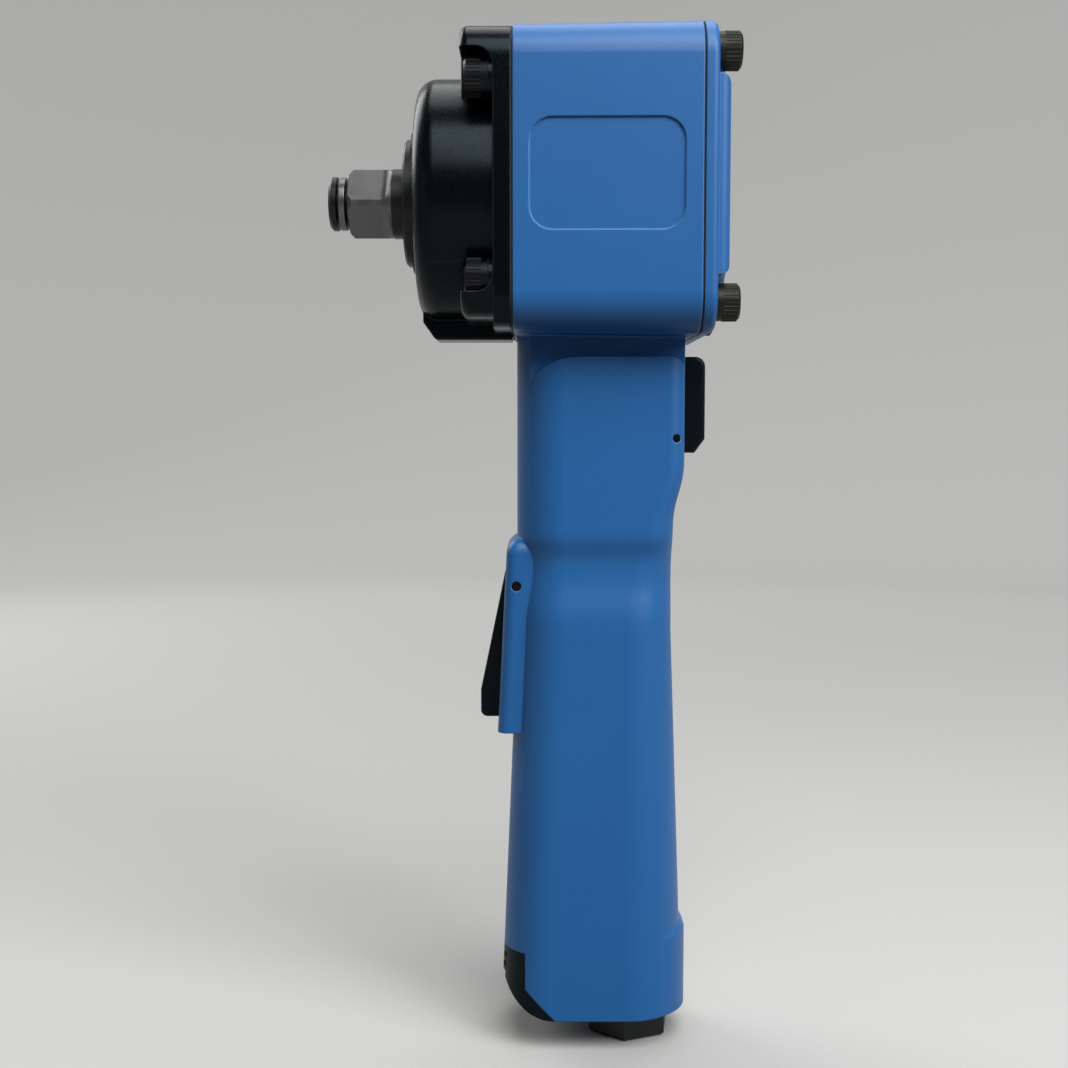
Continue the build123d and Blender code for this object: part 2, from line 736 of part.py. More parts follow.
# End plates of the motor, each with a ball bearing in its seat
for end, x_from, x_seat in (
    ("front", x_front_plate, x_front_plate),
    ("rear", x_rear_plate, x_rear_plate + bearing_seat_wall),
):
    with BuildPart() as end_plate:
        bar(x_from, x_from + end_plate_t, liner_d - 2 * press_gap, z=motor_offset)
        bar(x_from, x_from + end_plate_t, bearing_bore + 2 * slot_gap, mode=Mode.SUBTRACT)
        bar(x_seat, x_seat + bearing_len, bearing_d + 2 * press_gap, mode=Mode.SUBTRACT)
        bar(x_from, x_from + end_plate_t, dowel_d + 2 * press_gap, z=dowel_z, mode=Mode.SUBTRACT)
    end_plate.part.label = f"{end}_end_plate"
    export_step(end_plate.part, f"parts/{end}_end_plate.step")

    x_balls = x_seat + bearing_len / 2
    ball_pitch = (bearing_bore + bearing_d) / 4
    race_r = ball_d / 2 + ball_gap
    with BuildPart() as bearing_outer:
        bar(x_seat, x_seat + bearing_len, bearing_d)
        bar(x_seat, x_seat + bearing_len, bearing_d - 2 * bearing_ring_t, mode=Mode.SUBTRACT)
        with Locations(Plane.YZ.offset(x_balls)):
            Torus(ball_pitch, race_r, mode=Mode.SUBTRACT)
    bearing_outer.part.label = f"{end}_bearing_outer"
    export_step(bearing_outer.part, f"parts/{end}_bearing_outer.step")

    with BuildPart() as bearing_inner:
        bar(x_seat, x_seat + bearing_len, bearing_bore + 2 * bearing_ring_t)
        bar(x_seat, x_seat + bearing_len, bearing_bore, mode=Mode.SUBTRACT)
        with Locations(Plane.YZ.offset(x_balls)):
            Torus(ball_pitch, race_r, mode=Mode.SUBTRACT)
    bearing_inner.part.label = f"{end}_bearing_inner"
    export_step(bearing_inner.part, f"parts/{end}_bearing_inner.step")

    with BuildPart() as bearing_balls:
        with Locations(Plane.YZ.offset(x_balls)):
            with PolarLocations(ball_pitch, ball_count):
                Sphere(ball_d / 2)
    bearing_balls.part.label = f"{end}_bearing_balls"
    export_step(bearing_balls.part, f"parts/{end}_bearing_balls.step")

with BuildPart() as liner_dowel:
    bar(x_front_plate, x_rear, dowel_d, z=dowel_z)
liner_dowel.part.label = "liner_dowel"
export_step(liner_dowel.part, "parts/liner_dowel.step")

# Heel: a low step at the back of the handle's base, sloped at its top
with BuildPart() as heel:
    for level, ramp in (
        (z_base, 0),
        (z_base + heel_height - heel_slope, 0),
        (z_base + heel_height, heel_ramp),
    ):
        with BuildSketch(Plane.XY.offset(level)) as section:
            grip_section(
                section,
                x_base + handle_round,
                x_heel - ramp,
                base_width - 2 * (heel_inset + ramp),
                base_back_round - heel_inset - ramp,
            )
    loft(ruled=True)

# Grip: a straight upper part with a raised pad on each side, a waist and a tapering lower part
with BuildPart() as grip:
    with BuildSketch(Plane.XY.offset(z_pad_foot)) as section:
        grip_section(section, x_front, x_back, pad_width, pad_back_edge)
    extrude(amount=z_floor / 2 - z_pad_foot)
    for step in range(waist_steps + 1):
        share = step / waist_steps
        level = z_pad_foot + (z_grip - z_pad_foot) * share
        back = x_back + (waist_depth - handle_depth) * ease((z_pad_foot - level) / pad_run)
        back_round = pad_back_edge + (handle_round - pad_back_edge) * ease(share)
        narrowing = ease((z_pad_foot - pad_tail - level) / (waist_drop - pad_tail))
        widening = ease((z_waist - level) / grip_drop)
        width = pad_width + (waist_width - pad_width) * narrowing + (grip_width - waist_width) * widening
        with BuildSketch(Plane.XY.offset(level)) as section:
            grip_section(section, x_front, back, width, back_round)
    loft()
    for level, front, back, width, back_round in (
        (z_grip, x_front, x_front + waist_depth, grip_width, handle_round),
        (z_base, x_base, x_base_back, base_width, base_back_round),
    ):
        with BuildSketch(Plane.XY.offset(level)) as section:
            grip_section(section, front, back, width, back_round)
    loft(ruled=True)
    add(heel.part)
    for side in (-1, 1):
        with BuildSketch(Plane.XZ.offset(side * neck_width / 2)):
            with Locations((x_front, z_pad - pad_front_round)):
                Rectangle(
                    handle_depth + pad_front_round,
                    pad_front_round - z_pad,
                    align=(Align.MIN, Align.MIN),
                )
            with BuildSketch(mode=Mode.SUBTRACT) as pad:
                with Locations((x_front, z_pad)):
                    Rectangle(handle_depth, pad_len, align=(Align.MIN, Align.MAX))
                fillet(pad.vertices().group_by(Axis.Y)[-1].sort_by(Axis.X)[0], pad_front_round)
                fillet(pad.vertices().group_by(Axis.Y)[-1].sort_by(Axis.X)[-1], pad_rear_round)
        extrude(amount=side * pad_width, mode=Mode.SUBTRACT)

# Trigger hood: a tapered block in front of the grip
with BuildPart() as hood:
    for level, lead in ((z_hood_end, hood_bottom_lead), (z_hood, hood_top_lead)):
        with BuildSketch(Plane.XY.offset(level)):
            with Locations((x_front - lead, 0)):
                RectangleRounded(
                    lead + handle_round,
                    hood_width,
                    hood_round,
                    align=(Align.MIN, Align.CENTER),
                )
    loft(ruled=True)
    fillet(hood.faces().sort_by(Axis.Z)[-1].edges().sort_by(Axis.X)[0], hood_top_round)

# Motor housing: head, grip and hood in one casting, with its bores, slots and passages
with BuildPart() as motor_housing:
    with BuildSketch(Plane.YZ.offset(x_head)):
        head_outline()
    extrude(amount=head_len, taper=-head_draft)
    add(grip.part)
    underside = motor_housing.faces().filter_by(lambda f: f.inner_wires()).sort_by(Axis.Z)[0]
    fillet(underside.inner_wires()[0].edges(), neck_fillet)
    add(hood.part)
    tilt = radians(head_draft)
    for side in (-1, 1):
        side_face = Plane(
            (x_head, side * head_width / 2, motor_offset),
            x_dir=(cos(tilt), side * sin(tilt), 0),
            z_dir=(-sin(tilt), side * cos(tilt), 0),
        )
        with BuildSketch(side_face):
            with Locations((plate_set + plate_len / 2, 0)):
                RectangleRounded(plate_len, plate_height, plate_corner)
        extrude(amount=-plate_depth, mode=Mode.SUBTRACT)
    bar(x_head, x_front_plate, case_cavity_d, mode=Mode.SUBTRACT)
    bar(x_front_plate, x_rear, liner_d, z=motor_offset, mode=Mode.SUBTRACT)
    for y, z in front_screws:
        bar(x_head, x_head + screw_grip + screw_hole_end, screw_d + 2 * run_gap, y, z, mode=Mode.SUBTRACT)
    for y, z in rear_screws:
        bar(x_rear - screw_grip - screw_hole_end, x_rear, screw_d + 2 * run_gap, y, z, mode=Mode.SUBTRACT)
    with Locations((x_slot, 0, z_pivot + trigger_eye_r + slot_gap)):
        Box(
            x_slot - x_front + trigger_lead + hood_round,
            trigger_width + 2 * slot_gap,
            z_pivot + trigger_eye_r + slot_gap - z_hood_end - hood_floor,
            align=(Align.MAX, Align.CENTER, Align.MAX),
            mode=Mode.SUBTRACT,
        )
    cross_pin(hood_width, trigger_pin_d + 2 * press_gap, x_pivot, z_pivot, mode=Mode.SUBTRACT)
    bar(x_slot, x_inlet, push_bush_d + 2 * press_gap, z=z_push, mode=Mode.SUBTRACT)
    column(z_valve + valve_seat_t, z_spool, feed_bore, x_inlet, mode=Mode.SUBTRACT)
    column(z_inlet, z_valve + valve_seat_t, chamber_bore, x_inlet, mode=Mode.SUBTRACT)
    column(z_base, z_inlet, inlet_body_d + 2 * press_gap, x_inlet, mode=Mode.SUBTRACT)
    with Locations((x_paddle_slot, 0, z_paddle + paddle_swing_gap)):
        Box(
            x_back - x_paddle_slot + paddle_t,
            paddle_width + 2 * slot_gap,
            paddle_len + paddle_swing_gap + slot_gap,
            align=(Align.MIN, Align.CENTER, Align.MAX),
            mode=Mode.SUBTRACT,
        )
    cross_pin(pad_width, paddle_pin_d + 2 * press_gap, x_paddle_pivot, z_paddle_pivot, mode=Mode.SUBTRACT)
    bar(x_sleeve, x_paddle_slot, sleeve_d + 2 * press_gap, z=z_spool, mode=Mode.SUBTRACT)
    bar(x_spring - face_gap, x_sleeve, spool_bore, z=z_spool, mode=Mode.SUBTRACT)
    for x in ports:
        column(z_spool, motor_offset, port_d, x, mode=Mode.SUBTRACT)
    for y in exhausts:
        column(z_muffler - muffler_height, motor_offset, exhaust_d, x_exhaust, y, mode=Mode.SUBTRACT)
    with BuildSketch(Plane.XZ):
        with BuildLine():
            Polyline(
                (x_base - base_lead, z_base + deflector_height),
                (x_notch, z_base + deflector_height),
                (x_notch, z_base + deflector_corner),
                (x_base + deflector_run, z_base),
                (x_base - base_lead, z_base),
                close=True,
            )
        make_face()
    extrude(amount=base_width, both=True, mode=Mode.SUBTRACT)
    with Locations((x_notch, 0, z_muffler)):
        Box(
            muffler_len,
            muffler_width,
            muffler_height,
            align=(Align.MIN, Align.CENTER, Align.MAX),
            mode=Mode.SUBTRACT,
        )
motor_housing.part.label = "motor_housing"
export_step(motor_housing.part, "parts/motor_housing.step")

# Gaskets in front of and behind the motor housing
with BuildPart() as front_gasket:
    with BuildSketch(Plane.YZ.offset(x_joint)):
        head_outline(-gasket_inset)
        Circle(case_cavity_d / 2, mode=Mode.SUBTRACT)
        with Locations(*front_screws):
            Circle(screw_d / 2 + slot_gap, mode=Mode.SUBTRACT)
    extrude(amount=front_gasket_t)
front_gasket.part.label = "front_gasket"
export_step(front_gasket.part, "parts/front_gasket.step")

with BuildPart() as rear_gasket:
    with BuildSketch(Plane.YZ.offset(x_rear)):
        head_outline(draft_grow - gasket_inset)
        with Locations((0, motor_offset)):
            Circle(cover_recess_d / 2, mode=Mode.SUBTRACT)
        with Locations(*rear_screws):
            Circle(screw_d / 2 + slot_gap, mode=Mode.SUBTRACT)
    extrude(amount=rear_gasket_t)
rear_gasket.part.label = "rear_gasket"
export_step(rear_gasket.part, "parts/rear_gasket.step")

# Rear cover: a flange under the screws and a raised middle with open corners
with BuildPart() as rear_cover:
    with BuildSketch(Plane.YZ.offset(x_cover)):
        head_outline(draft_grow)
    extrude(amount=cover_flange_t)
    fillet(rear_cover.faces().sort_by(Axis.X)[-1].edges(), cover_edge)
    with BuildSketch(Plane.YZ.offset(x_cover_flange)):
        with Locations((0, motor_offset)):
            Rectangle(
                head_width + 2 * (draft_grow - cover_inset),
                2 * (rear_screw_z - cover_end_set),
            )
        for y, z in rear_screws:
            with Locations((y, z)):
                Circle(screw_room_d / 2, mode=Mode.SUBTRACT)
            y_out = head_width if y > 0 else -head_width
            z_out = head_height if z > motor_offset else -head_height
            y_side = screw_room_d / 2 if y > 0 else -screw_room_d / 2
            z_side = screw_room_d / 2 if z > motor_offset else -screw_room_d / 2
            with BuildLine():
                Polyline(
                    (y - y_side, z),
                    (y, z - z_side),
                    (y_out, z - z_side),
                    (y_out, z_out),
                    (y - y_side, z_out),
                    close=True,
                )
            make_face(mode=Mode.SUBTRACT)
    extrude(amount=cover_rise)
    fillet(rear_cover.faces().sort_by(Axis.X)[-1].edges(), cover_round)
    for y, z in rear_screws:
        bar(x_cover, x_cover_flange, screw_d + 2 * slot_gap, y, z, mode=Mode.SUBTRACT)
    bar(x_cover, x_cover + cover_recess, cover_recess_d, z=motor_offset, mode=Mode.SUBTRACT)
rear_cover.part.label = "rear_cover"
export_step(rear_cover.part, "parts/rear_cover.step")

# Cap screws with hexagon sockets and their lock washers: side is -1 where the head faces the drive
for end, side, x_seat, x_tip, places in (
    ("hammer_case", -1, x_front_seat, x_head + screw_grip, front_screws),
    ("rear_cover", 1, x_cover_flange, x_rear - screw_grip, rear_screws),
):
    with BuildPart() as screws:
        x_under = x_seat + side * washer_t
        x_top = x_under + side * screw_head_len
        with BuildSketch(Plane.YZ.offset(x_under)):
            with Locations(*places):
                Circle(screw_head_d / 2)
        extrude(amount=side * screw_head_len)
        chamfer(
            screws.edges().filter_by(GeomType.CIRCLE).group_by(Axis.X)[-1 if side > 0 else 0],
            screw_head_edge,
        )
        with BuildSketch(Plane.YZ.offset(x_top)):
            with Locations(*places):
                RegularPolygon(hex_key / 2, 6, major_radius=False)
        extrude(amount=-side * hex_key_depth, mode=Mode.SUBTRACT)
        with BuildSketch(Plane.YZ.offset(x_under)):
            with Locations(*places):
                Circle(screw_d / 2)
        extrude(amount=x_tip - x_under)
    screws.part.label = f"{end}_screws"
    export_step(screws.part, f"parts/{end}_screws.step")

    with BuildPart() as washers:
        with BuildSketch(Plane.YZ.offset(x_seat)):
            with Locations(*places):
                Circle(washer_d / 2)
                Circle(screw_d / 2 + run_gap, mode=Mode.SUBTRACT)
                Rectangle(washer_d, washer_slit, align=(Align.MIN, Align.CENTER), mode=Mode.SUBTRACT)
        extrude(amount=side * washer_t)
    washers.part.label = f"{end}_washers"
    export_step(washers.part, f"parts/{end}_washers.step")

# Trigger: a finger lever hung on a cross pin inside the hood
with BuildPart() as trigger:
    with BuildSketch(Plane.XZ) as lever:
        with BuildLine():
            Polyline(
                (x_pivot - trigger_top_lead, z_pivot + trigger_top_rise),
                (x_pivot - trigger_lead, z_pivot - trigger_arm),
                (x_pivot - trigger_lead, z_pivot - trigger_len),
                (x_pivot - trigger_heel, z_pivot - trigger_len),
                (x_trigger_back, z_pivot - trigger_len + trigger_heel_rise),
                (x_trigger_back, z_pivot),
                close=True,
            )
        make_face()
        fillet(lever.vertices().group_by(Axis.Y)[0].sort_by(Axis.X)[0], trigger_round)
        with Locations((x_pivot, z_pivot)):
            Circle(trigger_eye_r)
    extrude(amount=trigger_width / 2, both=True)
    side_edges = trigger.edges().filter_by(Plane.XZ)
    fillet(side_edges.filter_by(lambda e: e.center().X < x_pivot - trigger_heel), trigger_edge)
    cross_pin(trigger_width, trigger_pin_d + 2 * run_gap, x_pivot, z_pivot, mode=Mode.SUBTRACT)
trigger.part.label = "trigger"
export_step(trigger.part, "parts/trigger.step")

with BuildPart() as trigger_pin:
    cross_pin(hood_width - 2 * pin_recess, trigger_pin_d, x_pivot, z_pivot)
trigger_pin.part.label = "trigger_pin"
export_step(trigger_pin.part, "parts/trigger_pin.step")

# Throttle: the trigger pushes a pin, and the pin tilts the valve off its seat
with BuildPart() as trigger_push_pin:
    bar(x_push, x_push_end, push_pin_d, z=z_push)
    fillet(trigger_push_pin.edges().filter_by(GeomType.CIRCLE), push_pin_round)
trigger_push_pin.part.label = "trigger_push_pin"
export_step(trigger_push_pin.part, "parts/trigger_push_pin.step")

with BuildPart() as push_pin_bush:
    bar(x_slot, x_push_bush_end, push_bush_d, z=z_push)
    bar(x_slot, x_push_bush_end, push_bush_bore, z=z_push, mode=Mode.SUBTRACT)
push_pin_bush.part.label = "push_pin_bush"
export_step(push_pin_bush.part, "parts/push_pin_bush.step")

with BuildPart() as throttle_valve:
    column(z_valve - valve_disc_t, z_valve, valve_disc_d, x_inlet)
    column(z_valve, z_push + valve_stem_above, valve_stem_d, x_inlet)
throttle_valve.part.label = "throttle_valve"
export_step(throttle_valve.part, "parts/throttle_valve.step")

with BuildPart() as throttle_valve_seat:
    column(z_valve, z_valve + valve_seat_t, chamber_bore - 2 * press_gap, x_inlet)
    column(z_valve, z_valve + valve_seat_t, valve_seat_hole, x_inlet, mode=Mode.SUBTRACT)
throttle_valve_seat.part.label = "throttle_valve_seat"
export_step(throttle_valve_seat.part, "parts/throttle_valve_seat.step")

throttle_places = coil_points(
    Vector(x_inlet, 0, z_spring_top - throttle_spring_len + throttle_spring_wire / 2),
    Vector(0, 0, 1),
    Vector(1, 0, 0),
    (throttle_spring_d - throttle_spring_wire) / 2,
    throttle_spring_len - throttle_spring_wire,
    throttle_spring_turns,
)
with BuildPart() as throttle_spring:
    with BuildLine():
        coil_path(throttle_places)
    with BuildSketch(Plane(throttle_places[0][0], z_dir=throttle_places[0][1])):
        Circle(throttle_spring_wire / 2)
    sweep()
throttle_spring.part.label = "throttle_spring"
export_step(throttle_spring.part, "parts/throttle_spring.step")

# Air inlet: a threaded hexagon bush with its seal, and the screen above it
with BuildPart() as inlet_bush:
    with BuildSketch(Plane.XY.offset(z_inlet_end)):
        with Locations((x_inlet, 0)):
            RegularPolygon(inlet_hex / 2, 6, major_radius=False, rotation=inlet_hex_turn)
    extrude(amount=inlet_hex_len)
    chamfer(inlet_bush.faces().sort_by(Axis.Z)[0].edges(), inlet_chamfer)
    column(z_hex, z_inlet, inlet_body_d, x_inlet)
    column(z_inlet_end, z_inlet, inlet_bore, x_inlet, mode=Mode.SUBTRACT)
    column(z_inlet_end, z_inlet_end + inlet_thread_len, inlet_thread_d, x_inlet, mode=Mode.SUBTRACT)
inlet_bush.part.label = "inlet_bush"
export_step(inlet_bush.part, "parts/inlet_bush.step")

with BuildPart() as inlet_seal:
    column(z_hex, z_base, inlet_seal_d, x_inlet)
    column(z_hex, z_base, inlet_body_d + 2 * press_gap, x_inlet, mode=Mode.SUBTRACT)
inlet_seal.part.label = "inlet_seal"
export_step(inlet_seal.part, "parts/inlet_seal.step")

with BuildPart() as inlet_screen:
    column(z_inlet, z_screen, screen_d, x_inlet)
    column(z_inlet, z_inlet + screen_rim_t, chamber_bore - 2 * run_gap, x_inlet)
    column(z_inlet, z_screen - screen_wall, screen_d - 2 * screen_wall, x_inlet, mode=Mode.SUBTRACT)
    hole_step = (z_screen - z_inlet - screen_rim_t) / (screen_hole_rows + 1)
    for row in range(screen_hole_rows):
        level = z_inlet + screen_rim_t + hole_step * (row + 1)
        for turn in range(screen_holes // 2):
            angle = 2 * pi * turn / screen_holes
            with Locations(Plane((x_inlet, 0, level), z_dir=(cos(angle), sin(angle), 0))):
                Cylinder(screen_hole_d / 2, screen_d, mode=Mode.SUBTRACT)
inlet_screen.part.label = "inlet_screen"
export_step(inlet_screen.part, "parts/inlet_screen.step")

# Reverse valve: a thumb paddle on a cross pin pushes a sprung spool in its sleeve
with BuildPart() as reverse_paddle:
    with BuildSketch(Plane.XZ) as lever:
        with BuildLine():
            Polyline(
                (x_paddle, z_paddle),
                (x_paddle_back, z_paddle),
                (x_paddle_back, z_paddle_end + paddle_foot),
                (x_paddle_back - paddle_foot_run, z_paddle_end),
                (x_paddle, z_paddle_end),
                close=True,
            )
        make_face()
        fillet(lever.vertices().group_by(Axis.Y)[-1].sort_by(Axis.X)[-1], paddle_round)
    extrude(amount=paddle_width / 2, both=True)
    fillet(reverse_paddle.edges().filter_by(Plane.XZ), paddle_edge)
    with BuildSketch(Plane.XZ):
        with Locations((x_paddle_pivot, z_paddle_pivot)):
            Rectangle(
                x_paddle - x_paddle_pivot + paddle_edge,
                2 * paddle_eye_r,
                align=(Align.MIN, Align.CENTER),
            )
            Circle(paddle_eye_r)
    extrude(amount=paddle_width / 2 - paddle_edge, both=True)
    cross_pin(paddle_width, paddle_pin_d + 2 * run_gap, x_paddle_pivot, z_paddle_pivot, mode=Mode.SUBTRACT)
reverse_paddle.part.label = "reverse_paddle"
export_step(reverse_paddle.part, "parts/reverse_paddle.step")

with BuildPart() as paddle_pin:
    cross_pin(2 * (paddle_pin_half - pin_recess), paddle_pin_d, x_paddle_pivot, z_paddle_pivot)
paddle_pin.part.label = "paddle_pin"
export_step(paddle_pin.part, "parts/paddle_pin.step")

spool_rings = [x_spool + spool_ring_set, x_paddle_slot - spool_ring_set]
spool_ring_r = spool_d / 2 - spool_ring_wire / 2
with BuildPart() as reverse_spool:
    bar(x_spool, x_spool_end, spool_d, z=z_spool)
    fillet(reverse_spool.edges().filter_by(GeomType.CIRCLE).sort_by(Axis.X)[-1], spool_round)
    with BuildSketch(Plane.YZ.offset(x_ports - spool_waist_len / 2)):
        with Locations((0, z_spool)):
            Circle(spool_d)
            Circle(spool_waist_d / 2, mode=Mode.SUBTRACT)
    extrude(amount=spool_waist_len, mode=Mode.SUBTRACT)
    for x in spool_rings:
        with Locations(Plane((x, 0, z_spool), z_dir=(1, 0, 0))):
            Torus(spool_ring_r, spool_ring_wire / 2 + press_gap, mode=Mode.SUBTRACT)
reverse_spool.part.label = "reverse_spool"
export_step(reverse_spool.part, "parts/reverse_spool.step")

with BuildPart() as spool_orings:
    for x in spool_rings:
        with Locations(Plane((x, 0, z_spool), z_dir=(1, 0, 0))):
            Torus(spool_ring_r, spool_ring_wire / 2)
spool_orings.part.label = "spool_orings"
export_step(spool_orings.part, "parts/spool_orings.step")

with BuildPart() as reverse_sleeve:
    bar(x_sleeve, x_paddle_slot, sleeve_d, z=z_spool)
    bar(x_sleeve, x_paddle_slot, spool_bore, z=z_spool, mode=Mode.SUBTRACT)
    column(z_spool - sleeve_d, z_spool, port_d, x_inlet, mode=Mode.SUBTRACT)
    for x in ports:
        column(z_spool, z_spool + sleeve_d, port_d, x, mode=Mode.SUBTRACT)
reverse_sleeve.part.label = "reverse_sleeve"
export_step(reverse_sleeve.part, "parts/reverse_sleeve.step")

reverse_places = coil_points(
    Vector(x_spring + reverse_spring_wire / 2, 0, z_spool),
    Vector(1, 0, 0),
    Vector(0, 1, 0),
    (reverse_spring_d - reverse_spring_wire) / 2,
    reverse_spring_len - reverse_spring_wire,
    reverse_spring_turns,
)
with BuildPart() as reverse_spring:
    with BuildLine():
        coil_path(reverse_places)
    with BuildSketch(Plane(reverse_places[0][0], z_dir=reverse_places[0][1])):
        Circle(reverse_spring_wire / 2)
    sweep()
reverse_spring.part.label = "reverse_spring"
export_step(reverse_spring.part, "parts/reverse_spring.step")

# Exhaust: a felt block in the base and a louvred deflector over the front corner
with BuildPart() as muffler:
    with Locations((x_notch + muffler_gap, 0, z_muffler - muffler_gap)):
        Box(
            muffler_len - 2 * muffler_gap,
            muffler_width - 2 * muffler_gap,
            muffler_height - 2 * muffler_gap,
            align=(Align.MIN, Align.CENTER, Align.MAX),
        )
muffler.part.label = "muffler"
export_step(muffler.part, "parts/muffler.step")

with BuildPart() as exhaust_deflector:
    z_top = z_base + deflector_height - press_gap
    with BuildSketch(Plane.XZ):
        with BuildLine():
            Polyline(
                (x_base + deflector_run - 2 * press_gap, z_base),
                (x_notch - press_gap, z_base + deflector_corner - press_gap),
                (x_notch - press_gap, z_top),
                (x_base, z_top),
            )
            ThreePointArc(
                (x_base, z_top),
                (x_base + deflector_bulge / 2, z_base + deflector_bulge),
                (x_base + deflector_run - 2 * press_gap, z_base),
            )
        make_face()
    extrude(amount=base_width, both=True)
    add(grip.part, mode=Mode.INTERSECT)
    for slat in range(louvre_count):
        with Locations((x_base, 0, z_top - louvre_pitch * (slat + 1))):
            Box(2 * deflector_run, louvre_width, louvre_t, mode=Mode.SUBTRACT)
exhaust_deflector.part.label = "exhaust_deflector"
export_step(exhaust_deflector.part, "parts/exhaust_deflector.step")

for name, places, wire in (
    ("throttle_spring", throttle_places, throttle_spring_wire),
    ("reverse_spring", reverse_places, reverse_spring_wire),
):
    print(f"{name}: least gap between turns {coil_gap(places, wire):.2f} mm")
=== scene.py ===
"""Looks of a compact air impact wrench, on the frame of its solid model."""

from math import cos, pi, radians, sin, sqrt

import bmesh
import bpy
from bpy.props import FloatProperty, FloatVectorProperty, IntProperty, PointerProperty
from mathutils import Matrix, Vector


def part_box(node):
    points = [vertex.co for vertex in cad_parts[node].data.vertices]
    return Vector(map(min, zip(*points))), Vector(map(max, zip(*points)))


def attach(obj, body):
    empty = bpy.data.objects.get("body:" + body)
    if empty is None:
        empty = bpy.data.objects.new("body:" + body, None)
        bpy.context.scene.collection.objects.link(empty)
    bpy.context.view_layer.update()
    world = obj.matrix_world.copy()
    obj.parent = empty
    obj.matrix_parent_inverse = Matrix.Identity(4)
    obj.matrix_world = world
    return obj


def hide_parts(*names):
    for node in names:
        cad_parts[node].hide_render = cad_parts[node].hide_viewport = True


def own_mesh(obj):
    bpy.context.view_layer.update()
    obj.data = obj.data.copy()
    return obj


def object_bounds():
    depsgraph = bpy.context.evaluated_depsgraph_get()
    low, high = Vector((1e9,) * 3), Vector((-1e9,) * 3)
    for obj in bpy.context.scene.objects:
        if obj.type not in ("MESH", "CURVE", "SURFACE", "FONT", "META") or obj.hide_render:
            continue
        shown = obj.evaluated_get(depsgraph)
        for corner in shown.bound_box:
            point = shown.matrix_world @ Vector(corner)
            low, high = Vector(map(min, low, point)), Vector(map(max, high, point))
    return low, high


bl_info = {
    "name": "Air impact wrench",
    "version": (1, 0, 0),
    "blender": (4, 5, 0),
    "location": "View3D > Sidebar > Wrench",
    "description": "Dresses the solid model of an air impact wrench and sets its studio",
    "category": "Object",
}

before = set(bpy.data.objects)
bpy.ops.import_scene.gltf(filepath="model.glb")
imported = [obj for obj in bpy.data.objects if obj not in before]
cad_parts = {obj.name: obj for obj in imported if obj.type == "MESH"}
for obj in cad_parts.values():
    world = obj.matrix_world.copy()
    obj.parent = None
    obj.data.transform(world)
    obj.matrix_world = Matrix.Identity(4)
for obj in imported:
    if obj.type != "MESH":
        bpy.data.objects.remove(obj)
CAD_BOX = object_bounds()
MM = 0.001
# Points of a copied mesh that lie closer than this are one
WELD = 0.001 * MM
# White, which leaves light its own colour
WHITE = (1, 1, 1, 1)

# Sockets of a colour mix, whose names its other data types share
MIX_A = 6
MIX_B = 7
MIX_RESULT = 2

# Values between which noise mostly lies
NOISE_LOW = 0.3
NOISE_HIGH = 0.7
# Widths of patterns in millimetres, and the height of the paper's fibres
FILM_CLOUD = 34
STEEL_STAIN = 3.5
PAPER_FIBRE = 2
PAPER_TOOTH = 0.05
# Depth of orange peel and of tool marks for their width, and clouds for the width of a grain
PEEL_DEPTH = 0.1
CUT_DEPTH = 0.06
GRAIN_CLOUD = 9
# How far roughness strays to either side
FILM_SPREAD = 0.04
STEEL_SPREAD = 0.07
GRAIN_SPREAD = 0.06

# Steps round the paper and up its sweep
PAPER_TURNS = 72
SWEEP_STEPS = 12
# Width of the camera's frame in millimetres
FRAME_WIDTH = 36
# Each lamp's name, width in metres and place in metres
LAMPS = (
    ("key", 0.7, (0.22, -0.6, 0.7)),
    ("side", 0.5, (0.64, -0.5, 0.4)),
    ("fill", 0.6, (-0.7, -0.6, 0.1)),
    ("top", 0.6, (0.1, 0.25, 0.75)),
    ("rear", 0.6, (-0.65, 0.55, 0.5)),
)


def linear(code):
    """An sRGB hex colour as linear red, green, blue and alpha."""
    channels = [int(code[i : i + 2], 16) / 255 for i in (1, 3, 5)]
    return [c / 12.92 if c <= 0.04045 else ((c + 0.055) / 1.055) ** 2.4 for c in channels] + [1.0]


def cycles(size):
    """Texture scale for a pattern of this size in millimetres."""
    return 1 / (size * MM)


def add(tree, kind, inputs=None, **settings):
    """Adds a node, sets its properties, and fills or links its inputs."""
    node = tree.nodes.new(kind)
    for key, value in settings.items():
        setattr(node, key, value)
    for key, value in (inputs or {}).items():
        if isinstance(value, bpy.types.NodeSocket):
            tree.links.new(value, node.inputs[key])
        else:
            node.inputs[key].default_value = value
    return node


def colour(name, about, code):
    """A colour that a user may change."""
    return FloatVectorProperty(name=name, description=about, subtype="COLOR", size=4, default=linear(code))


def length(name, about, millimetres):
    """A size that a user may change."""
    return FloatProperty(name=name, description=about, unit="LENGTH", default=millimetres * MM)


def number(name, about, value, unit="NONE"):
    """A plain number that a user may change."""
    return FloatProperty(name=name, description=about, unit=unit, default=value)


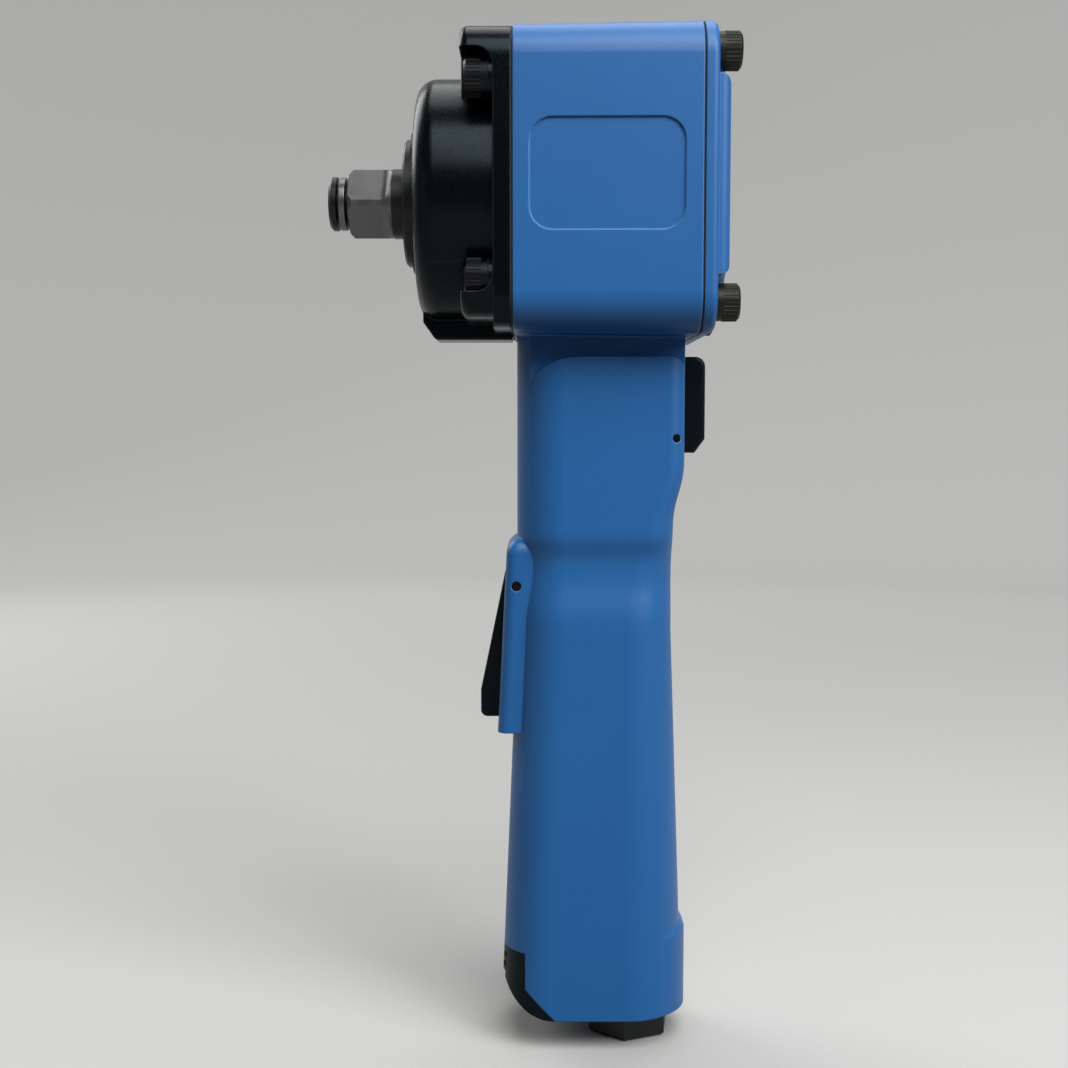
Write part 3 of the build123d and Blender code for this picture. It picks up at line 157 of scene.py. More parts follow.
class WrenchFinishes(bpy.types.PropertyGroup):
    """Colours of the wrench's finishes."""

    lacquer: colour("Lacquer", "Satin blue lacquer of the housing and the rear cover", "#1D609F")
    lacquer_thick: colour("Lacquer, thick", "Lacquer where it lies thick", "#1A5A97")
    # Painted highlight: this paler blue goes along the edges where light catches them.
    lacquer_edge_highlight: colour("Lacquer, edges", "Lacquer drawn thin along the edges", "#4F8FD0")
    casting: colour("Hammer case", "Black coat of the hammer case", "#030507")
    # Painted highlight: this paler grey goes along the edges where light catches them.
    casting_edge_highlight: colour("Hammer case, edges", "Black coat drawn thin along the edges", "#434C54")
    phosphate: colour("Phosphated steel", "Inlet, and edges of the bush and the front screws", "#353737")
    # On the anvil's pilot and shank this darker colour is painted shade; on the bush it is the bush's own
    # black.
    phosphate_dark_and_shade: colour("Phosphated steel, oiled", "Anvil and bush where nothing rubs them", "#28292A")
    phosphate_worn: colour("Phosphated steel, worn", "Where sockets rub the square drive", "#5E5F5E")
    ground_steel: colour("Ground steel", "Motor, hammer and bearings", "#B4B4B6")
    black_oxide: colour("Black oxide", "Pins and cap screws of the hammer case", "#1E1F21")
    aged_oxide: colour("Aged oxide", "Cap screws of the rear cover", "#292927")
    cool_sheen: colour("Cool sheen", "Cast of what the black coat and nylon mirror", "#D3F1FF")
    plastic: colour("Black nylon", "Trigger, paddle and deflector", "#07090E")
    rubber: colour("Black rubber", "Seals and rings", "#101010")
    bronze: colour("Sintered bronze", "Bushes, screen, sleeve and valve", "#A37C4A")
    phenolic: colour("Phenolic", "Vanes of the motor", "#6B4A2E")
    gasket: colour("Pressed fibre", "Gaskets of the head", "#17181A")
    felt: colour("Grey felt", "Muffler", "#8A857C")


class WrenchDetails(bpy.types.PropertyGroup):
    """Sizes of the fine details."""

    edge_round: length("Edge round", "Visible rounding of cast edges", 0.5)
    tool_round: length("Machined edge round", "Visible rounding of machined edges", 0.15)
    # The stretch between these two is where sockets rub the square; beyond it the anvil's pilot and shank
    # stay darker as painted shade.
    rubbed_unshaded_first: length("Rubbed from", "Where sockets start to rub the square drive", -10.8)
    rubbed_unshaded_last: length("Rubbed to", "Where sockets stop rubbing the square drive", -0.2)
    knurl_ridges: IntProperty(
        name="Knurl ridges", description="Ridges round a screw's head", default=30, min=8
    )
    knurl_height: length("Knurl height", "Height of a ridge above the head", 0.15)
    head_radius: length("Head radius", "Radius of a cap screw's head", 4.25)
    head_length: length("Head length", "Length of a cap screw's head", 4.4)
    head_edge: length("Head edge", "Bevel round the top of a cap screw's head", 0.5)
    thread_pitch: length("Thread pitch", "Pitch of the inlet's pipe thread", 1.41)
    thread_height: length("Thread height", "Height of the inlet's thread", 0.6)
    thread_length: length("Thread length", "Length of the inlet's thread", 12.0)
    thread_radius: length("Thread radius", "Radius of the inlet's threaded bore", 5.75)
    spool_travel: length("Spool travel", "How far the spool presses its spring", 1.6)
    valve_drop: length("Valve drop", "How far the tilting valve presses its spring", 1.52)


class WrenchStage(bpy.types.PropertyGroup):
    """Studio round the wrench."""

    lens: number("Lens", "Focal length in millimetres on a 36 mm frame", 47.19, unit="CAMERA")
    pitch: FloatProperty(
        name="Pitch", description="How far the camera looks down", subtype="ANGLE", default=radians(4.3)
    )
    distance: length("Distance", "Camera to the wrench's middle plane", 350)
    across: length("Across", "Camera's place along the anvil", 34.3)
    height: length("Height", "Camera's height from the anvil's axis", -55.1)
    paper: colour("Paper", "Seamless paper of the floor and backdrop", "#B8B8B6")
    paper_bounce: colour("Paper bounce", "Paper as the light that it throws back sees it", "#484848")
    paper_glow: number("Paper glow", "Paleness of the far paper to the eye", 0.6)
    paper_glow_near: number("Paper glow, near", "Paleness of the paper on the lamps' side", 0.2)
    paper_clear: length("Paper, clear", "How far round the wrench the paper has no glow", 300)
    paper_flat: length("Paper, flat", "Radius of the flat floor", 1100)
    paper_sweep: length("Paper, sweep", "Radius of the sweep from floor to wall", 500)
    paper_wall: length("Paper, wall", "Height of the wall above the sweep", 1600)
    key_power: number("Key light", "Power in watts", 9.8, unit="POWER")
    side_power: number("Side light", "Power in watts", 5.6, unit="POWER")
    fill_power: number("Fill light", "Power in watts", 0.3, unit="POWER")
    top_power: number("Top light", "Power in watts", 3.5, unit="POWER")
    rear_power: number("Rear light", "Power in watts", 5.0, unit="POWER")
    room: number("Room light", "Strength of the even light from all sides", 0.07)


def blank(name):
    """A new material with its shader, its tree and the object's own coordinates."""
    finish = bpy.data.materials.new(name)
    finish.use_nodes = True
    tree = finish.node_tree
    tree.nodes.clear()
    shader = add(tree, "ShaderNodeBsdfPrincipled")
    add(tree, "ShaderNodeOutputMaterial", {"Surface": shader.outputs["BSDF"]})
    place = add(tree, "ShaderNodeTexCoord").outputs["Object"]
    return finish, tree, shader, place


def edge_wear_and_highlight(tree, rounding, samples, start, full, most):
    """Rounded normals, and an edge mask from the cosine of its turn: a painted highlight on the castings,
    wear with a painted highlight on steel.
    """
    rounded = add(tree, "ShaderNodeBevel", {"Radius": rounding}, samples=samples)
    flat = add(tree, "ShaderNodeNewGeometry")
    turn = add(
        tree,
        "ShaderNodeVectorMath",
        {0: rounded.outputs["Normal"], 1: flat.outputs["Normal"]},
        operation="DOT_PRODUCT",
    )
    edge = add(
        tree,
        "ShaderNodeMapRange",
        {"Value": turn.outputs["Value"], "From Min": start, "From Max": full, "To Min": 0.0, "To Max": most},
    )
    return rounded.outputs["Normal"], edge.outputs["Result"]


# The finishes take grains, tool marks and depths in millimetres, and rounding and stretches in metres
def coated_casting(name, coat, thick, wear_and_highlight, rounding, grain, roughness, gloss, sheen=WHITE):
    """Lacquered casting: even film, slight orange peel, and a paler line along the edges as a painted
    highlight.
    """
    finish, tree, shader, place = blank(name)
    cloud = add(tree, "ShaderNodeTexNoise", {"Vector": place, "Scale": cycles(FILM_CLOUD), "Detail": 3.0})
    film = add(
        tree,
        "ShaderNodeMix",
        {"Factor": cloud.outputs["Fac"], MIX_A: coat, MIX_B: thick},
        data_type="RGBA",
    )
    # The edge mask lays the paler colour on the edges as a painted highlight.
    normal, edge = edge_wear_and_highlight(tree, rounding, samples=6, start=0.995, full=0.86, most=0.55)
    skin = add(
        tree,
        "ShaderNodeMix",
        {"Factor": edge, MIX_A: film.outputs[MIX_RESULT], MIX_B: wear_and_highlight},
        data_type="RGBA",
    )
    peel = add(tree, "ShaderNodeTexNoise", {"Vector": place, "Scale": cycles(grain), "Detail": 2.0})
    ripple = add(
        tree,
        "ShaderNodeBump",
        {
            "Height": peel.outputs["Fac"],
            "Normal": normal,
            "Strength": 0.05,
            "Distance": grain * MM * PEEL_DEPTH,
        },
    )
    satin = add(
        tree,
        "ShaderNodeMapRange",
        {
            "Value": peel.outputs["Fac"],
            "From Min": NOISE_LOW,
            "From Max": NOISE_HIGH,
            "To Min": roughness - FILM_SPREAD,
            "To Max": roughness + FILM_SPREAD,
        },
    )
    tree.links.new(skin.outputs[MIX_RESULT], shader.inputs["Base Color"])
    tree.links.new(ripple.outputs["Normal"], shader.inputs["Normal"])
    tree.links.new(satin.outputs["Result"], shader.inputs["Roughness"])
    shader.inputs["Specular IOR Level"].default_value = gloss
    shader.inputs["Specular Tint"].default_value = sheen
    return finish


def worked_steel(name, bare, wear_and_highlight, axis, mark, rounding, roughness, rubbed_unshaded=None):
    """Turned or ground steel: fine tool marks across one axis, paler edges as wear with a painted highlight,
    and, where given, a stretch in the paler colour, outside which the darker colour is painted shade.
    """
    finish, tree, shader, place = blank(name)
    parts = add(tree, "ShaderNodeSeparateXYZ", {"Vector": place})
    # Real tool marks are too fine to show, so these are drawn coarser
    marks = add(
        tree,
        "ShaderNodeTexNoise",
        {"W": parts.outputs[axis], "Scale": cycles(mark), "Detail": 4.0, "Roughness": 0.7},
        noise_dimensions="1D",
    )
    stain = add(tree, "ShaderNodeTexNoise", {"Vector": place, "Scale": cycles(STEEL_STAIN), "Detail": 5.0})
    # The edge mask pales the edges, as wear and as a painted highlight.
    normal, wear = edge_wear_and_highlight(tree, rounding, samples=4, start=0.99, full=0.8, most=0.6)
    # Outside the stretch the part keeps its darker colour, which on the anvil's pilot and shank is painted
    # shade.
    if rubbed_unshaded:
        first, last = rubbed_unshaded
        stretch = add(
            tree,
            "ShaderNodeMath",
            {0: parts.outputs[axis], 1: (first + last) / 2, 2: (last - first) / 2},
            operation="COMPARE",
        )
        wear = add(
            tree,
            "ShaderNodeMath",
            {0: wear, 1: stretch.outputs["Value"]},
            operation="MAXIMUM",
        ).outputs["Value"]
    patch = add(
        tree,
        "ShaderNodeMapRange",
        {
            "Value": stain.outputs["Fac"],
            "From Min": NOISE_LOW,
            "From Max": 0.6,
            "To Min": 0.85,
            "To Max": 1.0,
        },
    )
    rub = add(
        tree,
        "ShaderNodeMath",
        {0: wear, 1: patch.outputs["Result"]},
        operation="MULTIPLY",
    )
    skin = add(
        tree,
        "ShaderNodeMix",
        {"Factor": rub.outputs["Value"], MIX_A: bare, MIX_B: wear_and_highlight},
        data_type="RGBA",
    )
    tone = add(
        tree,
        "ShaderNodeMapRange",
        {
            "Value": stain.outputs["Fac"],
            "From Min": NOISE_LOW,
            "From Max": NOISE_HIGH,
            "To Min": roughness - STEEL_SPREAD,
            "To Max": roughness + STEEL_SPREAD,
        },
    )
    cut = add(
        tree,
        "ShaderNodeBump",
        {
            "Height": marks.outputs["Fac"],
            "Normal": normal,
            "Strength": 0.25,
            "Distance": mark * MM * CUT_DEPTH,
        },
    )
    tree.links.new(skin.outputs[MIX_RESULT], shader.inputs["Base Color"])
    tree.links.new(tone.outputs["Result"], shader.inputs["Roughness"])
    tree.links.new(cut.outputs["Normal"], shader.inputs["Normal"])
    shader.inputs["Metallic"].default_value = 1.0
    return finish


def grained(name, base, size, depth, contrast, roughness, metallic=0.0, gloss=0.5, sheen=WHITE):
    """Moulded, pressed or sintered stuff: a grain of one size in its colour and its surface."""
    finish, tree, shader, place = blank(name)
    # Most real grains are too fine to show, so they are drawn coarser
    grain = add(tree, "ShaderNodeTexVoronoi", {"Vector": place, "Scale": cycles(size)})
    cloud = add(
        tree,
        "ShaderNodeTexNoise",
        {"Vector": place, "Scale": cycles(GRAIN_CLOUD * size), "Detail": 4.0},
    )
    lift = add(
        tree,
        "ShaderNodeMapRange",
        {
            "Value": cloud.outputs["Fac"],
            "From Min": NOISE_LOW,
            "From Max": NOISE_HIGH,
            "To Min": 1 - contrast,
            "To Max": 1 + contrast,
        },
    )
    tint = add(tree, "ShaderNodeHueSaturation", {"Color": base, "Value": lift.outputs["Result"]})
    pit = add(
        tree,
        "ShaderNodeBump",
        {"Height": grain.outputs["Distance"], "Strength": 0.35, "Distance": depth * MM},
    )
    tone = add(
        tree,
        "ShaderNodeMapRange",
        {
            "Value": grain.outputs["Distance"],
            "From Max": 0.8,
            "To Min": roughness + GRAIN_SPREAD,
            "To Max": roughness - GRAIN_SPREAD,
        },
    )
    tree.links.new(tint.outputs["Color"], shader.inputs["Base Color"])
    tree.links.new(pit.outputs["Normal"], shader.inputs["Normal"])
    tree.links.new(tone.outputs["Result"], shader.inputs["Roughness"])
    shader.inputs["Metallic"].default_value = metallic
    shader.inputs["Specular IOR Level"].default_value = gloss
    shader.inputs["Specular Tint"].default_value = sheen
    return finish


def assign(finish, *names):
    """Gives one finish to solid nodes."""
    for name in names:
        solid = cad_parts[name].data
        solid.materials.clear()
        solid.materials.append(finish)


def plain_mesh(source, name, body):
    """Turns a made shape into a plain mesh that rides on a body."""
    graph = bpy.context.evaluated_depsgraph_get()
    mesh = bpy.data.meshes.new_from_object(source.evaluated_get(graph), depsgraph=graph)
    bpy.data.objects.remove(source)
    mesh.name = name
    piece = bpy.data.objects.new(name, mesh)
    bpy.context.scene.collection.objects.link(piece)
    if not mesh.polygons:
        raise RuntimeError(f"{name} came out empty")
    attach(piece, body)


def coil(node, finish):
    """A spring in place of its solid, whose shape it copies."""
    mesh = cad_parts[node].data.copy()
    mesh.name = f"{node}_coil"
    shape = bmesh.new()
    shape.from_mesh(mesh)
    bmesh.ops.remove_doubles(shape, verts=shape.verts, dist=WELD)
    shape.to_mesh(mesh)
    shape.free()
    mesh.shade_smooth()
    mesh.materials.clear()
    mesh.materials.append(finish)
    piece = bpy.data.objects.new(mesh.name, mesh)
    bpy.context.scene.collection.objects.link(piece)
    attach(piece, "housing")
    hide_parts(node)
    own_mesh(piece)


def carrier(name, points, tree, values):
    """An object of bare points with a node tree on it and the tree's inputs set."""
    mesh = bpy.data.meshes.new(name)
    mesh.from_pydata(points, [], [])
    holder = bpy.data.objects.new(name, mesh)
    bpy.context.scene.collection.objects.link(holder)
    modifier = holder.modifiers.new(name, "NODES")
    modifier.node_group = tree
    for socket, value in values.items():
        modifier[socket] = value
    return holder


def head_centres(node, x, radius):
    """Centres of four cap screws' heads, from the corners of their node's box."""
    low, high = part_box(node)
    sides = (low.y + radius, high.y - radius)
    levels = (low.z + radius, high.z - radius)
    return [Vector((x, y, z)) for y in sides for z in levels]


def begin_tree(name, inputs):
    """A geometry tree with named inputs, the identifiers of its sockets, and what it is given."""
    tree = bpy.data.node_groups.new(name, "GeometryNodeTree")
    sockets = {}
    for label, kind in inputs.items():
        sockets[label] = tree.interface.new_socket(label, in_out="INPUT", socket_type=kind).identifier
    tree.interface.new_socket("Geometry", in_out="OUTPUT", socket_type="NodeSocketGeometry")
    return tree, sockets, add(tree, "NodeGroupInput").outputs


def end_tree(tree, instances, finish):
    """Ends a geometry tree with real meshes in their finish."""
    real = add(tree, "GeometryNodeRealizeInstances", {"Geometry": instances})
    dressed = add(
        tree,
        "GeometryNodeSetMaterial",
        {"Geometry": real.outputs["Geometry"], "Material": finish},
    )
    add(tree, "NodeGroupOutput", {"Geometry": dressed.outputs["Geometry"]})


def knurl_tree(finish):
    """Node tree that sets ridges round each point, along X."""
    tree, sockets, given = begin_tree(
        "knurl",
        {
            "Geometry": "NodeSocketGeometry",
            "Ridges": "NodeSocketInt",
            "Radius": "NodeSocketFloat",
            "Length": "NodeSocketFloat",
            "Height": "NodeSocketFloat",
        },
    )
    side = add(tree, "ShaderNodeMath", {0: given["Height"], 1: sqrt(2)}, operation="MULTIPLY")
    size = add(
        tree,
        "ShaderNodeCombineXYZ",
        {"X": given["Length"], "Y": side.outputs["Value"], "Z": side.outputs["Value"]},
    )
    block = add(tree, "GeometryNodeMeshCube", {"Size": size.outputs["Vector"]})
    ridge = add(
        tree,
        "GeometryNodeTransform",
        {"Geometry": block.outputs["Mesh"], "Rotation": (pi / 4, 0, 0)},
    )
    ring = add(tree, "GeometryNodeMeshCircle", {"Vertices": given["Ridges"], "Radius": given["Radius"]})
    upright = add(
        tree,
        "GeometryNodeTransform",
        {"Geometry": ring.outputs["Mesh"], "Rotation": (0, pi / 2, 0)},
    )
    outward = add(
        tree,
        "FunctionNodeAlignRotationToVector",
        {"Vector": add(tree, "GeometryNodeInputPosition").outputs["Position"]},
        axis="Z",
        pivot_axis="X",
    )
    crown = add(
        tree,
        "GeometryNodeInstanceOnPoints",
        {
            "Points": upright.outputs["Geometry"],
            "Instance": ridge.outputs["Geometry"],
            "Rotation": outward.outputs["Rotation"],
        },
    )
    heads = add(
        tree,
        "GeometryNodeInstanceOnPoints",
        {"Points": given["Geometry"], "Instance": crown.outputs["Instances"]},
    )
    end_tree(tree, heads.outputs["Instances"], finish)
    return tree, sockets


def thread_tree(finish):
    """Node tree that winds a ridge up a bore from a point."""
    tree, sockets, given = begin_tree(
        "pipe_thread",
        {
            "Geometry": "NodeSocketGeometry",
            "Radius": "NodeSocketFloat",
            "Height": "NodeSocketFloat",
            "Pitch": "NodeSocketFloat",
            "Length": "NodeSocketFloat",
        },
    )
    turns = add(tree, "ShaderNodeMath", {0: given["Length"], 1: given["Pitch"]}, operation="DIVIDE")
    helix = add(
        tree,
        "GeometryNodeCurveSpiral",
        {
            "Resolution": 48,
            "Rotations": turns.outputs["Value"],
            "Start Radius": given["Radius"],
            "End Radius": given["Radius"],
            "Height": given["Length"],
        },
    )
    section = add(
        tree,
        "GeometryNodeCurvePrimitiveCircle",
        {"Resolution": 4, "Radius": given["Height"]},
    )
    ridge = add(
        tree,
        "GeometryNodeCurveToMesh",
        {
            "Curve": helix.outputs["Curve"],
            "Profile Curve": section.outputs["Curve"],
            "Fill Caps": True,
        },
    )
    placed = add(
        tree,
        "GeometryNodeInstanceOnPoints",
        {"Points": given["Geometry"], "Instance": ridge.outputs["Mesh"]},
    )
    end_tree(tree, placed.outputs["Instances"], finish)
    return tree, sockets


def paper_bowl(stage):
    """Mesh of a round sheet of paper that sweeps up into a wall all round."""
    floor = CAD_BOX[0].z
    flat, sweep = stage.paper_flat, stage.paper_sweep
    profile = [(flat, floor)]
    for step in range(1, SWEEP_STEPS + 1):
        angle = pi / 2 * step / SWEEP_STEPS
        profile.append((flat + sweep * sin(angle), floor + sweep * (1 - cos(angle))))
    profile.append((flat + sweep, floor + sweep + stage.paper_wall))
    corners = [(0, 0, floor)]
    for radius, z in profile:
        for step in range(PAPER_TURNS):
            angle = 2 * pi * step / PAPER_TURNS
            corners.append((radius * cos(angle), radius * sin(angle), z))
    faces = []
    for step in range(PAPER_TURNS):
        here, there = 1 + step, 1 + (step + 1) % PAPER_TURNS
        faces.append((0, here, there))
        for ring in range(len(profile) - 1):
            low, high = ring * PAPER_TURNS, (ring + 1) * PAPER_TURNS
            faces.append((low + here, high + here, high + there, low + there))
    mesh = bpy.data.meshes.new("paper_sweep")
    mesh.from_pydata(corners, [], faces)
    mesh.shade_smooth()
    return mesh


def seamless_paper(stage):
    """Matt paper: a pale ground with no shine."""
    finish, tree, shader, place = blank("seamless_paper")
    # Real fibres are too fine to show, so these are drawn coarser
    fibre = add(tree, "ShaderNodeTexNoise", {"Vector": place, "Scale": cycles(PAPER_FIBRE), "Detail": 2.0})
    tooth = add(
        tree,
        "ShaderNodeBump",
        {"Height": fibre.outputs["Fac"], "Strength": 0.05, "Distance": PAPER_TOOTH * MM},
    )
    # The eye and mirrors see pale paper, while the light it throws back stays low
    ray = add(tree, "ShaderNodeLightPath").outputs
    mirrored = add(
        tree,
        "ShaderNodeMath",
        {0: ray["Is Glossy Ray"], 1: ray["Is Transmission Ray"]},
        operation="MAXIMUM",
    )
    seen = add(
        tree,
        "ShaderNodeMath",
        {0: ray["Is Camera Ray"], 1: mirrored.outputs["Value"]},
        operation="MAXIMUM",
    )
    sheet = add(
        tree,
        "ShaderNodeMix",
        {"Factor": seen.outputs["Value"], MIX_A: stage.paper_bounce, MIX_B: stage.paper},
        data_type="RGBA",
    )
    # Away from the wrench, and most on the side away from the lamps, a glow keeps the paper pale
    away = add(tree, "ShaderNodeVectorMath", {0: place}, operation="LENGTH")
    rise = add(
        tree,
        "ShaderNodeMapRange",
        {"Value": away.outputs["Value"], "From Min": stage.paper_clear, "From Max": stage.paper_flat},
        interpolation_type="SMOOTHSTEP",
    )
    parts = add(tree, "ShaderNodeSeparateXYZ", {"Vector": place})
    share = add(
        tree,
        "ShaderNodeMapRange",
        {
            "Value": parts.outputs["Y"],
            "From Min": -stage.paper_flat,
            "From Max": stage.paper_flat,
            "To Min": stage.paper_glow_near,
            "To Max": stage.paper_glow,
        },
    )
    pale = add(
        tree,
        "ShaderNodeMath",
        {0: rise.outputs["Result"], 1: share.outputs["Result"]},
        operation="MULTIPLY",
    )
    glow = add(
        tree,
        "ShaderNodeMath",
        {0: seen.outputs["Value"], 1: pale.outputs["Value"]},
        operation="MULTIPLY",
    )
    tree.links.new(tooth.outputs["Normal"], shader.inputs["Normal"])
    tree.links.new(sheet.outputs[MIX_RESULT], shader.inputs["Base Color"])
    tree.links.new(glow.outputs["Value"], shader.inputs["Emission Strength"])
    shader.inputs["Emission Color"].default_value = stage.paper
    shader.inputs["Roughness"].default_value = 0.9
    shader.inputs["Specular IOR Level"].default_value = 0.0
    # The camera looks through the paper from beneath, while lamps and mirrors meet it as before
    side = add(tree, "ShaderNodeNewGeometry")
    beneath = add(
        tree,
        "ShaderNodeMath",
        {0: side.outputs["Backfacing"], 1: ray["Is Camera Ray"]},
        operation="MULTIPLY",
    )
    clear = add(tree, "ShaderNodeBsdfTransparent")
    either = add(
        tree,
        "ShaderNodeMixShader",
        {0: beneath.outputs["Value"], 1: shader.outputs["BSDF"], 2: clear.outputs["BSDF"]},
    )
    tree.links.new(either.outputs["Shader"], tree.nodes["Material Output"].inputs["Surface"])
    return finish


class WRENCH_OT_castings(bpy.types.Operator):
    """Lacquers the housing and the rear cover blue and the hammer case black"""

    bl_idname = "wrench.castings"
    bl_label = "Castings"

    def execute(self, context):
        shades = context.scene.wrench_finishes
        details = context.scene.wrench_details
        # Baked lacquer on cast aluminium: an even satin blue, with paler edges as a painted highlight
        blue = coated_casting(
            "satin_blue_lacquer",
            coat=shades.lacquer,
            thick=shades.lacquer_thick,
            wear_and_highlight=shades.lacquer_edge_highlight,
            rounding=details.edge_round,
            grain=0.9,
            roughness=0.42,
            gloss=0.4,
        )
        assign(blue, "motor_housing", "rear_cover")
        # Black coat on a casting: near black, with semi-gloss highlights of a cool cast and paler edges as a
        # painted highlight
        black = coated_casting(
            "semi_gloss_black_coat",
            coat=shades.casting,
            thick=shades.casting,
            wear_and_highlight=shades.casting_edge_highlight,
            rounding=details.edge_round,
            grain=0.7,
            roughness=0.26,
            gloss=0.13,
            sheen=shades.cool_sheen,
        )
        assign(black, "hammer_case")
        # Pressed fibre sheet: a dull dark line in each joint
        fibre = grained(
            "pressed_fibre", shades.gasket, size=0.5, depth=0.04, contrast=0.2, roughness=0.8
        )
        assign(fibre, "front_gasket", "rear_gasket")
        return {"FINISHED"}


class WRENCH_OT_drive(bpy.types.Operator):
    """Gives the anvil, its bush and its rings their steel and rubber"""

    bl_idname = "wrench.drive"
    bl_label = "Square drive"

    def execute(self, context):
        shades = context.scene.wrench_finishes
        details = context.scene.wrench_details
        # Phosphated steel, turned about the anvil's axis: dull grey, brighter on the square where sockets
        # rub it, and darker on the pilot and shank as painted shade
        turned = worked_steel(
            "phosphated_turned_steel",
            bare=shades.phosphate_dark_and_shade,
            wear_and_highlight=shades.phosphate_worn,
            axis="X",
            mark=0.5,
            rounding=details.tool_round,
            roughness=0.42,
            rubbed_unshaded=(details.rubbed_unshaded_first, details.rubbed_unshaded_last),
        )
        assign(turned, "anvil", "thrust_washer")
        # Black oxide on turned steel: dark rings with a soft shine, and paler edges as wear with a painted
        # highlight
        black = worked_steel(
            "black_oxide_bush",
            bare=shades.phosphate_dark_and_shade,
            wear_and_highlight=shades.phosphate,
            axis="X",
            mark=0.5,
            rounding=details.tool_round,
            roughness=0.4,
        )
        assign(black, "front_bush")
        # Spring steel, polished by sockets: the brightest line of the drive
        sprung = worked_steel(
            "sprung_ring_steel",
            bare=shades.phosphate_worn,
            wear_and_highlight=shades.ground_steel,
            axis="X",
            mark=0.3,
            rounding=details.tool_round,
            roughness=0.35,
        )
        assign(sprung, "socket_ring")
        # Moulded nitrile rubber: dull black
        rubber = grained(
            "nitrile_rubber", shades.rubber, size=0.35, depth=0.02, contrast=0.15, roughness=0.62
        )
        assign(rubber, "anvil_seal", "socket_ring_oring")
        assign(rubber, "inlet_seal", "spool_orings", "throttle_valve_seat")
        return {"FINISHED"}


class WRENCH_OT_cap_screws(bpy.types.Operator):
    """Colours the cap screws and knurls their heads"""

    bl_idname = "wrench.cap_screws"
    bl_label = "Cap screws"

    def execute(self, context):
        shades = context.scene.wrench_finishes
        details = context.scene.wrench_details
        # Black oxide on alloy steel: near black in front, greyer where it has aged behind
        fresh = worked_steel(
            "black_oxide_steel",
            bare=shades.black_oxide,
            wear_and_highlight=shades.phosphate,
            axis="X",
            mark=0.4,
            rounding=details.tool_round,
            roughness=0.4,
        )
        aged = worked_steel(
            "aged_oxide_steel",
            bare=shades.aged_oxide,
            wear_and_highlight=shades.phosphate_worn,
            axis="X",
            mark=0.4,
            rounding=details.tool_round,
            roughness=0.45,
        )
        bearing = details.head_length - 2 * details.head_edge
        for end, side, finish, slot in (
            ("hammer_case", -1, fresh, "black_screw"),
            ("rear_cover", 1, aged, "brown_screw"),
        ):
            node = f"{end}_screws"
            assign(finish, node, f"{end}_washers")
            low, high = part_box(node)
            top = low.x if side < 0 else high.x
            middle = top - side * (details.head_edge + bearing / 2)
            tree, sockets = knurl_tree(finish)
            holder = carrier(
                f"{end}_knurl_points",
                head_centres(node, middle, details.head_radius),
                tree,
                {
                    sockets["Ridges"]: details.knurl_ridges,
                    sockets["Radius"]: details.head_radius,
                    sockets["Length"]: bearing,
                    sockets["Height"]: details.knurl_height,
                },
            )
            plain_mesh(holder, f"{end}_screw_knurls", "housing")
        return {"FINISHED"}


class WRENCH_OT_controls(bpy.types.Operator):
    """Gives the trigger, the reverse paddle and the deflector their plastic"""

    bl_idname = "wrench.controls"
    bl_label = "Controls"

    def execute(self, context):
        shades = context.scene.wrench_finishes
        details = context.scene.wrench_details
        # Glass-filled nylon from a grained mould: black, with a fine grain and a low shine
        nylon = grained(
            "grained_black_nylon",
            shades.plastic,
            size=0.45,
            depth=0.03,
            contrast=0.15,
            roughness=0.4,
            gloss=0.12,
            sheen=shades.cool_sheen,
        )
        assign(nylon, "trigger", "reverse_paddle", "exhaust_deflector")
        # Ground and blackened steel: dark dots in the holes
        pins = worked_steel(
            "ground_steel_pins",
            bare=shades.black_oxide,
            wear_and_highlight=shades.ground_steel,
            axis="Y",
            mark=0.3,
            rounding=details.tool_round,
            roughness=0.35,
        )
        assign(pins, "trigger_pin", "paddle_pin")
        return {"FINISHED"}


class WRENCH_OT_inlet(bpy.types.Operator):
    """Dresses the air inlet and cuts its thread"""

    bl_idname = "wrench.inlet"
    bl_label = "Air inlet"

    def execute(self, context):
        shades = context.scene.wrench_finishes
        details = context.scene.wrench_details
        # Phosphated steel, turned about the inlet's axis: dull dark grey
        turned = worked_steel(
            "phosphated_inlet_steel",
            bare=shades.phosphate,
            wear_and_highlight=shades.phosphate_worn,
            axis="Z",
            mark=0.5,
            rounding=details.tool_round,
            roughness=0.45,
        )
        assign(turned, "inlet_bush")
        # Sintered bronze: matt gold with fine pores
        bronze = grained(
            "sintered_bronze",
            shades.bronze,
            size=0.3,
            depth=0.05,
            contrast=0.25,
            roughness=0.45,
            metallic=1.0,
        )
        assign(bronze, "inlet_screen", "reverse_sleeve", "push_pin_bush", "throttle_valve")
        low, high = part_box("inlet_bush")
        mouth = Vector(((low.x + high.x) / 2, (low.y + high.y) / 2, low.z + details.thread_pitch))
        tree, sockets = thread_tree(turned)
        holder = carrier(
            "inlet_thread_point",
            [mouth],
            tree,
            {
                sockets["Radius"]: details.thread_radius,
                sockets["Height"]: details.thread_height,
                sockets["Pitch"]: details.thread_pitch,
                sockets["Length"]: details.thread_length,
            },
        )
        plain_mesh(holder, "inlet_thread", "housing")
        return {"FINISHED"}


